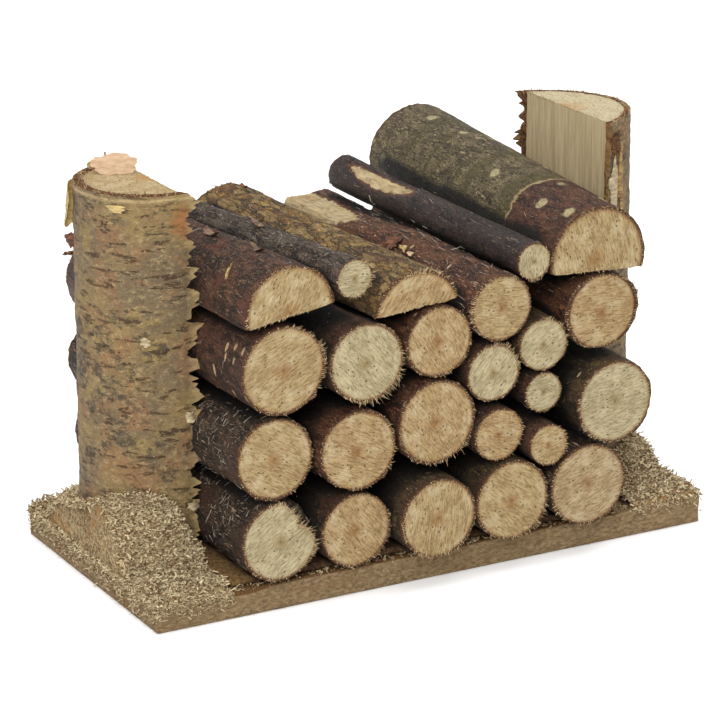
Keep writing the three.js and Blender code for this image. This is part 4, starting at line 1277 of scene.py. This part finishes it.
# ---- The loose bits on the posts ----
def build_flakes():
    """Torn bark that still hangs on the posts."""
    level = np.array([0, 0, 1.0])
    top = left_post.high[2]
    # as seen from the left front corner: to the right, and away
    edge_on = np.array([0.88, -0.47, 0.0])
    away = np.array([0.47, 0.88, 0.0])
    leaf = np.array([left_post.flat, left_post.y, top]) - edge_on * 5.0 + away * 3.8
    foot = leaf - away * 1.5
    foot[2] = left_post.height(foot[1])
    side = np.array([left_post.x, left_post.y, 0]) - edge_on * (left_post.radius + 0.2)
    bent, hooked = level + [0.08, 0, 0], level + [0.6, 0, 0]
    for name, paper, middle, across, up, *form in (
        (
            "peach_leaf", PALE_PAPER, foot + [0, 0, 1.15], edge_on, level + away * 0.5, 6.4, 2.9, 0.4, 33,
            0.7,
        ),
        ("peach_spike", WHITE_PAPER, leaf - edge_on * 1.2 + [0, 0, 1.3], edge_on, level, 0.5, 1.3, 0.1, 32),
        ("rust_leaf", YELLOW_PAPER, leaf - edge_on * 2.9 + [0, 0, 0.2], edge_on, level, 1.6, 1.2, 0.3, 33),
        (
            "yellow_curl", YELLOW_PAPER, side + [-0.5, 0, top - 4.2], [-0.88, -0.43, 0], bent, 2.6, 6.8,
            -1, 34, 0.35,
        ),
        ("rust_curl", RUST_PAPER, side + [0.3, 0, top - 9.4], -edge_on, level, 1.9, 2.4, 0.6, 35),
        (
            "rust_hook", RUST_PAPER, side - edge_on * 0.4 + [0, 0, top - 11.2], -edge_on, hooked, 1.6,
            0.7, 0.7, 36,
        ),
    ):
        curled_flake(name, paper, middle, across, up, *form)
    limit = right_post.half * right_post.radius
    for name, paper, post, run, lift, z, *form in (
        ("yellow_lip", YELLOW_PAPER, left_post, -7.0, 0.25, top - 1.7, 2.9, 1.0, -0.5, 41),
        ("white_lip_high", WHITE_PAPER, left_post, -17.2, 0.25, 25.0, 1.8, 1.3, -0.7, 42),
        ("white_lip_low", WHITE_PAPER, left_post, -17.4, 0.25, 12.0, 1.8, 1.3, -0.7, 43),
        ("white_scale", WHITE_PAPER, left_post, -11.0, 0.25, 36.2, 1.5, 1.2, -0.4, 44),
        ("white_strip", WHITE_PAPER, right_post, -limit + 0.75, 0.3, 49.2, 1.9, 6.4, -0.3, 51),
        ("rust_tuft", CORK, right_post, -limit + 1.2, 0.3, 54.6, 2.6, 3.6, -0.6, 52),
        ("ochre_roll", OCHRE_PAPER, right_post, -limit + 2.6, 0.3, 49.0, 1.2, 8.0, -0.5, 53),
    ):
        spot, out = post.at(np.array([run]))
        middle = spot[0] + out[0] * lift + level * z
        curled_flake(name, paper, middle, np.cross(level, out[0]), level, *form)


build_flakes()


def build_log_scraps():
    """Bits of bark and fibre that came loose on the logs."""
    for name, node, paper, share, degrees, wide, tall, curl, lift, seed in (
        ("lifted_scale", "log_d1", SCALE_PAPER, 0.42, 96, 3.4, 1.5, 0.8, 0.3, 61),
        ("lifted_scale_front", "log_d1", SCALE_PAPER, 0.2, 84, 2.6, 1.3, 0.7, 0.25, 62),
        ("pale_sliver", "log_d1", YELLOW_PAPER, 0.16, 160, 0.5, 2.2, 0.3, 0.2, 63),
        ("rust_knot", "log_d1", RUST_PAPER, 0.62, 84, 3.0, 1.8, -0.5, 0.2, 64),
        ("dark_peel", "log_d4", RUST_PAPER, 0.44, 128, 2.6, 2.2, 0.5, 0.3, 65),
        ("straw_crumb", "log_d4", YELLOW_PAPER, 0.38, 132, 1.6, 1.0, 0.4, 0.4, 66),
        ("straw_crumb_low", "log_d4", PALE_PAPER, 0.34, 136, 1.2, 0.8, 0.4, 0.4, 67),
        ("red_crumb", "log_d5", RUST_PAPER, 0.03, 18, 1.1, 0.9, 0.4, 0.35, 68),
        ("ridge_peel", "log_d2", SCALE_PAPER, 0.5, 100, 4.4, 0.9, 0.5, 0.25, 69),
        ("back_crumb", "log_d3", RUST_PAPER, 0.93, 70, 1.3, 0.9, 0.4, 0.5, 70),
        ("hanging_scrap", "log_c1", RUST_PAPER, 0.02, 320, 0.7, 1.6, 0.5, 0.3, 71),
    ):
        skin = SKINS[node]
        row, column = int(share * (len(skin) - 1)), int(degrees / 360 * skin.shape[1])
        out = unit(np.array([math.cos(math.radians(degrees)), 0, math.sin(math.radians(degrees))]))
        along = np.array([0, -1.0, 0])
        form = dict(wide=wide, tall=tall, curl=curl, seed=seed, slot=frame_slot(node))
        curled_flake(name, paper, skin[row, column] + out * lift, along, np.cross(out, along), **form)


build_log_scraps()


# ---- Board ----
def build_board(seed):
    """The fibreboard: edges rounded and matted by the saw, fibres standing off them."""
    low, high = box_of("base_board")
    size = high - low
    heap = Heap()
    for axis in range(3):
        first, second = [other for other in range(3) if other != axis]
        counts = [max(8, int(size[other] / 0.42)) for other in (first, second)]
        u, v = np.meshgrid(np.linspace(0, 1, counts[0]), np.linspace(0, 1, counts[1]), indexing="ij")
        for end in (0, 1):
            points = np.empty(u.shape + (3,))
            points[..., axis] = high[axis] if end else low[axis]
            points[..., first] = low[first] + u * size[first]
            points[..., second] = low[second] + v * size[second]
            outward = (end == 1) != (axis == 1)
            faces = [list(face) if outward else list(face)[::-1] for face in grid_faces(*counts)]
            heap.put(points, faces)
    points = heap.weld()
    soft = 0.4
    core = np.clip(points, low + soft, high - soft)
    way = unit(points - core)
    rough = 0.1 * lumps(points, (1.6, 1.6, 0.8), seed) + 0.07 * lumps(points, 0.5, seed + 1) - 0.06
    wander = 0.12 * lumps(points * [1, 1, 0], 9.0, seed + 2)
    rough = (rough + wander * (np.abs(way[:, 2]) < 0.5)) * (points[:, 2] > low[2] + 0.3)
    points = core + way * (soft + rough)[:, None]
    # glue has soaked into the top under the lowest logs, and a little beyond the first of them
    first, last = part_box("log_a1")[0].x / MM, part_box("log_a5")[1].x / MM + 1
    soaked = np.exp(-(((points[:, 0] - first) / 4.5) ** 2)) * (points[:, 2] > high[2] - 0.6)
    under = (points[:, 2] > high[2] - 0.5) & (points[:, 0] > first) & (points[:, 0] < last)
    faces, heap = heap.faces, Heap()
    heap.put(points, faces, 0, soaked=np.maximum(soaked, under * 0.75))
    # fibres along the cut edges and on the sawn sides
    pick = chance(seed + 4)
    for count, length, place in ((1500, 0.42, "rim"), (900, 0.3, "side")):
        run = pick.uniform(0, 2 * (size[0] + size[1]), count)
        turns = np.cumsum([0, size[0], size[1], size[0], size[1]])
        x = np.interp(run, turns, np.array([0, 1, 1, 0, 0]) * size[0])
        y = np.interp(run, turns, np.array([0, 0, 1, 1, 0]) * size[1])
        if place == "side":
            z = pick.uniform(0.3, size[2] - 0.2, count)
        else:
            z = np.where(pick.random(count) < 0.65, size[2] - 0.12, 0.25)
        roots = low + np.stack([x, y, z], -1)
        out = np.stack(
            [(x >= size[0]) * 1.0 - (x <= 0), (y >= size[1]) * 1.0 - (y <= 0), np.zeros(count)], -1
        )
        roots -= out * 0.25
        ways = out + pick.normal(0, 0.6, (count, 3)) + [0, 0, 0.3 if place == "rim" else 0]
        ways[:, 2] = np.where(roots[:, 2] < 1, np.abs(ways[:, 2]), ways[:, 2])
        lengths, widths = pick.uniform(0.4, 1.4, count) * length, pick.uniform(0.06, 0.14, count)
        bends = pick.normal(0, 0.5, (count, 3)) * [1, 1, 0.3]
        heap.bristle(1, roots, ways, lengths, widths, bends, pick.uniform(0.1, 0.75, count), tip=0.4)
    heap.piece("fibre_board", "fibreboard", [fibreboard(), BOARD_FIBRE], ["base_board"], sharp=50)


BOARD_FIBRE = torn_fibre("board_fibre", (186, 164, 124), (112, 86, 54))
GRAINS = torn_fibre("sawdust_grain", (206, 190, 152), (104, 72, 42))
build_board(6000)


# ---- Sawdust ----
def beside(values, **how):
    """The four cells next to each one, as four grids."""
    wide = np.pad(values, 1, **how)
    return wide[:-2, 1:-1], wide[2:, 1:-1], wide[1:-1, :-2], wide[1:-1, 2:]


def block_sum(values):
    """The sum over each cell and the eight round it."""
    wide, (long, deep) = np.pad(values, 1), values.shape
    return sum(wide[i:long + i, j:deep + j] for i in range(3) for j in range(3))


GRID = 0.42  # mm between the points of a sawdust bed


def bed_surface(node):
    """A bed's packed surface from above: its grid lines, its level, and a level eased over facets and brink
    with where that is known."""
    low, high = box_of(node)
    surface = surface_of(node)
    xs, ys = (
        np.linspace(low[axis] + 0.02, high[axis] - 0.02, int((high[axis] - low[axis]) / GRID))
        for axis in (0, 1)
    )
    level = np.full((len(xs), len(ys)), np.nan)
    for i, x in enumerate(xs):
        for j, y in enumerate(ys):
            hit = surface.ray_cast(Vector((x, y, high[2] + 1)), Vector((0, 0, -1)))[0]
            if hit is not None:
                level[i, j] = hit.z
    known = ~np.isnan(level)
    filled, sure = np.where(known, level, low[2] + 0.7), known.copy()
    for _ in range(3):
        total, voices = block_sum(np.where(sure, filled, 0)), block_sum(sure * 1.0)
        filled = np.where(~sure & (voices > 0), total / np.maximum(voices, 1), filled)
        sure |= voices > 0
    for _ in range(5):
        filled = np.where(known, 0.4 * filled + 0.15 * sum(beside(filled, mode="edge")), filled)
    return xs, ys, level, known, filled, sure


def build_sawdust(side, grains, seed):
    """A glued bed of sawdust: its lumpy surface, and single curled grains on it."""
    node = "sawdust_" + side
    floor = box_of(node)[0][2]
    xs, ys, level, known, filled, sure = bed_surface(node)
    x, y = np.meshgrid(xs, ys, indexing="ij")
    points = np.stack([x, y, filled], -1)
    points[..., 2] += 0.3 * lumps(points, 1.3, seed) + 0.2 * lumps(points, 0.6, seed + 1)
    outer = np.zeros(level.shape, bool)
    outer[0 if side == "left" else -1] = True
    outer[:, [0, -1]] = True
    # bare round the drops of glue
    for drop in ("glue_drop_high", "glue_drop_low"):
        start, end = box_of(drop)
        sure &= (x < start[0] - 0.6) | (x > end[0] + 0.5) | (y > end[1] + 0.2)
    corner = np.array(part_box("glue_drop_low")[0]) / MM
    from_drop = np.hypot(x - corner[0], y - corner[1])
    points[..., 2] = np.where(sure & ~outer, points[..., 2], floor - 0.15)
    heap = Heap()
    heap.put(points, grid_faces(*points.shape[:2]))
    pick = chance(seed + 2)
    known &= sure
    spots = np.argwhere(known)
    steep = np.hypot(*np.gradient(filled, GRID))[known] ** 0.8 + 0.6
    chosen = spots[pick.choice(len(spots), grains, p=steep / steep.sum())]
    roots = points[chosen[:, 0], chosen[:, 1]] + pick.uniform(-0.2, 0.2, (grains, 3))
    roots[:, 2] = np.maximum(roots[:, 2], floor) + 0.05
    roots[:, 2] += pick.random(grains) ** 2 * 0.45
    ways = pick.normal(0, 1, (grains, 3)) * [1, 1, 0.5]
    bends = pick.normal(0, 0.7, (grains, 3)) * [1, 1, 0.6]
    lengths, widths = 0.16 + 0.34 * pick.random(grains) ** 1.6, pick.uniform(0.2, 0.46, grains)
    # some of the grains hang over the brink of the bed, though not by the drops
    spots = np.argwhere(known & (from_drop > 4) & np.any(beside(~known), axis=0))
    stuck = spots[pick.integers(0, len(spots), grains // 7)]
    chosen[:len(stuck)] = stuck
    roots[:len(stuck)] = points[stuck[:, 0], stuck[:, 1]] + pick.uniform(-0.45, 0.45, (len(stuck), 3))
    roots[:len(stuck), 2] = np.maximum(
        level[stuck[:, 0], stuck[:, 1]], floor
    ) + pick.random(len(stuck)) ** 3 * 0.9
    edge = chosen[:, 0] < 2 if side == "left" else chosen[:, 0] > len(xs) - 3
    ways[edge, 0] += -0.8 if side == "left" else 0.8
    shades = pick.beta(1.0, 0.8, grains)
    heap.bristle(1, roots, ways, lengths, widths, bends, shades, tip=0.8, steps=3)
    heap.piece("sawdust_heap_" + side, "sawdust", [SAWDUST, GRAINS], [node], sharp=80)


def build_stray_grains(seed):
    """Grains stuck to the board's sawn ends and scattered along its front."""
    low, high = box_of("base_board")
    pick = chance(seed)
    heap = Heap()
    for count, start, stop, out in (
        (1500, (low[0], low[1], 0.6), (low[0] + 0.02, high[1], 4.0), (-1, 0, 0)),
        (520, (low[0], low[1], 1.4), (low[0] + 11.5, low[1] + 0.02, 4.0), (0, -1, 0.2)),
        (500, (high[0] - 0.02, low[1], 0.8), (high[0], high[1], 4.0), (1, 0, 0)),
        (120, (high[0] - 12, low[1], 2.6), (high[0], low[1] + 0.02, 4.0), (0, -1, 0.2)),
        (360, (-31.5, low[1] + 0.2, 4.0), (34.0, low[1] + 1.8, 4.05), (0, -1, 0.2)),
    ):
        roots = pick.uniform(start, stop, (count, 3))
        roots[:, 2] = stop[2] - (stop[2] - roots[:, 2]) * pick.random(count)
        ways = pick.normal(0, 0.9, (count, 3)) + np.array(out) * 0.5
        lengths, widths = pick.uniform(0.2, 0.5, count), pick.uniform(0.16, 0.36, count)
        bends = pick.normal(0, 0.7, (count, 3)) * [1, 1, 0.5]
        points, faces, each = strands(roots, ways, lengths, widths, bends, tip=0.75)
        points[:, 2] = np.maximum(points[:, 2], 0.1)
        heap.put(points, faces, 0, shade=np.repeat(pick.beta(2, 1.4, count), each))
    heap.piece("stray_sawdust", "sawdust", [GRAINS])


SAWDUST = sawdust_bed()
build_sawdust("left", 15000, 6100)
build_sawdust("right", 10000, 6200)
build_stray_grains(6300)


# ---- Glue ----
def build_glue(node, seed):
    """Set glue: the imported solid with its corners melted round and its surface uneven."""
    lump = bpy.data.objects.new("melting", frame["nodes"][node].data.copy())
    bpy.context.scene.collection.objects.link(lump)
    low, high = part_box(node)
    melt = lump.modifiers.new("melt", "REMESH")
    melt.mode, melt.voxel_size = "VOXEL", max(0.00022, (high - low).length / 160)
    ease = lump.modifiers.new("ease", "SMOOTH")
    ease.factor, ease.iterations = 0.5, 10
    bpy.context.view_layer.update()
    melted = lump.evaluated_get(bpy.context.evaluated_depsgraph_get()).to_mesh()
    points = np.array([corner.co for corner in melted.vertices]) / MM
    ways = np.array([corner.normal for corner in melted.vertices])
    faces = [face.vertices[:] for face in melted.polygons]
    bpy.data.objects.remove(lump)
    points = points + ways * (
        0.12 * lumps(points, 1.2, seed) + 0.05 * lumps(points, 0.5, seed + 1) - 0.08
    )[:, None]
    heap = Heap()
    heap.put(points, faces)
    heap.piece(
        "set_" + node, "glue", [SOAKED_SHADED if node == "glue_bed" else AMBER if "drop" in node else GLUE],
        [node],
    )


GLUE, SOAKED_SHADED = set_glue("set_glue", (28, 16, 8), (62, 38, 18)), soaked_shaded_board()
AMBER = set_glue("amber_glue", (84, 38, 14), (134, 70, 28))
for number, name in enumerate(sorted(name for name in frame["nodes"] if name.startswith("glue"))):
    build_glue(name, 7000 + 10 * number)


# ---- Camera, light and table ----
TABLE_HALF, TABLE_BEND, TABLE_WALL, BEND_STEPS = 3.0, 0.6, 2.4, 24
LAMPS = {
    "front_window": ((-0.5, -0.68, 0.6), (0, 0, 0.02), 9.6, 0.55),
    "top_panel": ((0.1, 0.1, 0.9), (0, 0, 0.0), 7.2, 0.9),
}
CAMERA_SPOT, CAMERA_WAY, CAMERA_LENS = (-0.2781, -0.5114, 0.2333), (0.4487, 0.8279, -0.3364), 219.97


def build_table():
    """A pale table that sweeps up into the wall behind."""
    floor_level = float(cad_box[0].z)
    profile = [(-TABLE_HALF, floor_level)]
    for n in range(BEND_STEPS + 1):
        angle = math.pi / 2 * n / BEND_STEPS
        y = TABLE_HALF * 0.5 + TABLE_BEND * math.sin(angle)
        profile.append((y, floor_level + TABLE_BEND * (1 - math.cos(angle))))
    profile.append((TABLE_HALF * 0.5 + TABLE_BEND, floor_level + TABLE_WALL))
    mesh = bpy.data.meshes.new("table_sweep")
    points = [(side * TABLE_HALF, y, z) for y, z in profile for side in (-1, 1)]
    faces = [(2 * n, 2 * n + 1, 2 * n + 3, 2 * n + 2) for n in range(len(profile) - 1)]
    mesh.from_pydata(points, [], faces)
    sweep = bpy.data.objects.new("table_sweep", mesh)
    pale = new_material("pale_table")
    shader = pale.node_tree.nodes["Principled BSDF"]
    shader.inputs["Base Color"].default_value = (0.97, 0.97, 0.97, 1)
    shader.inputs["Roughness"].default_value = 0.9
    mesh.materials.append(pale)
    bpy.context.scene.collection.objects.link(sweep)


def build_lights():
    world = bpy.data.worlds.new("soft_room")
    world.use_nodes = True
    world.node_tree.nodes["Background"].inputs[0].default_value = (1.0, 1.0, 1.0, 1)
    world.node_tree.nodes["Background"].inputs[1].default_value = 0.56
    bpy.context.scene.world = world
    bpy.context.scene.view_settings.view_transform = "Standard"
    for name, (spot, target, power, size) in LAMPS.items():
        light = bpy.data.lights.new(name, "AREA")
        light.energy, light.size = power, size
        thing = bpy.data.objects.new(name, light)
        thing.location = spot
        thing.rotation_euler = (Vector(target) - Vector(spot)).to_track_quat("-Z", "Y").to_euler()
        bpy.context.scene.collection.objects.link(thing)


def build_camera():
    camera = bpy.data.cameras.new("camera")
    camera.lens, camera.sensor_width = CAMERA_LENS, 36
    camera.clip_start, camera.clip_end = 0.01, 20
    thing = bpy.data.objects.new("camera", camera)
    thing.location = CAMERA_SPOT
    thing.rotation_euler = Vector(CAMERA_WAY).to_track_quat("-Z", "Y").to_euler()
    bpy.context.scene.collection.objects.link(thing)
    bpy.context.scene.camera = thing


build_table()
build_lights()
build_camera()
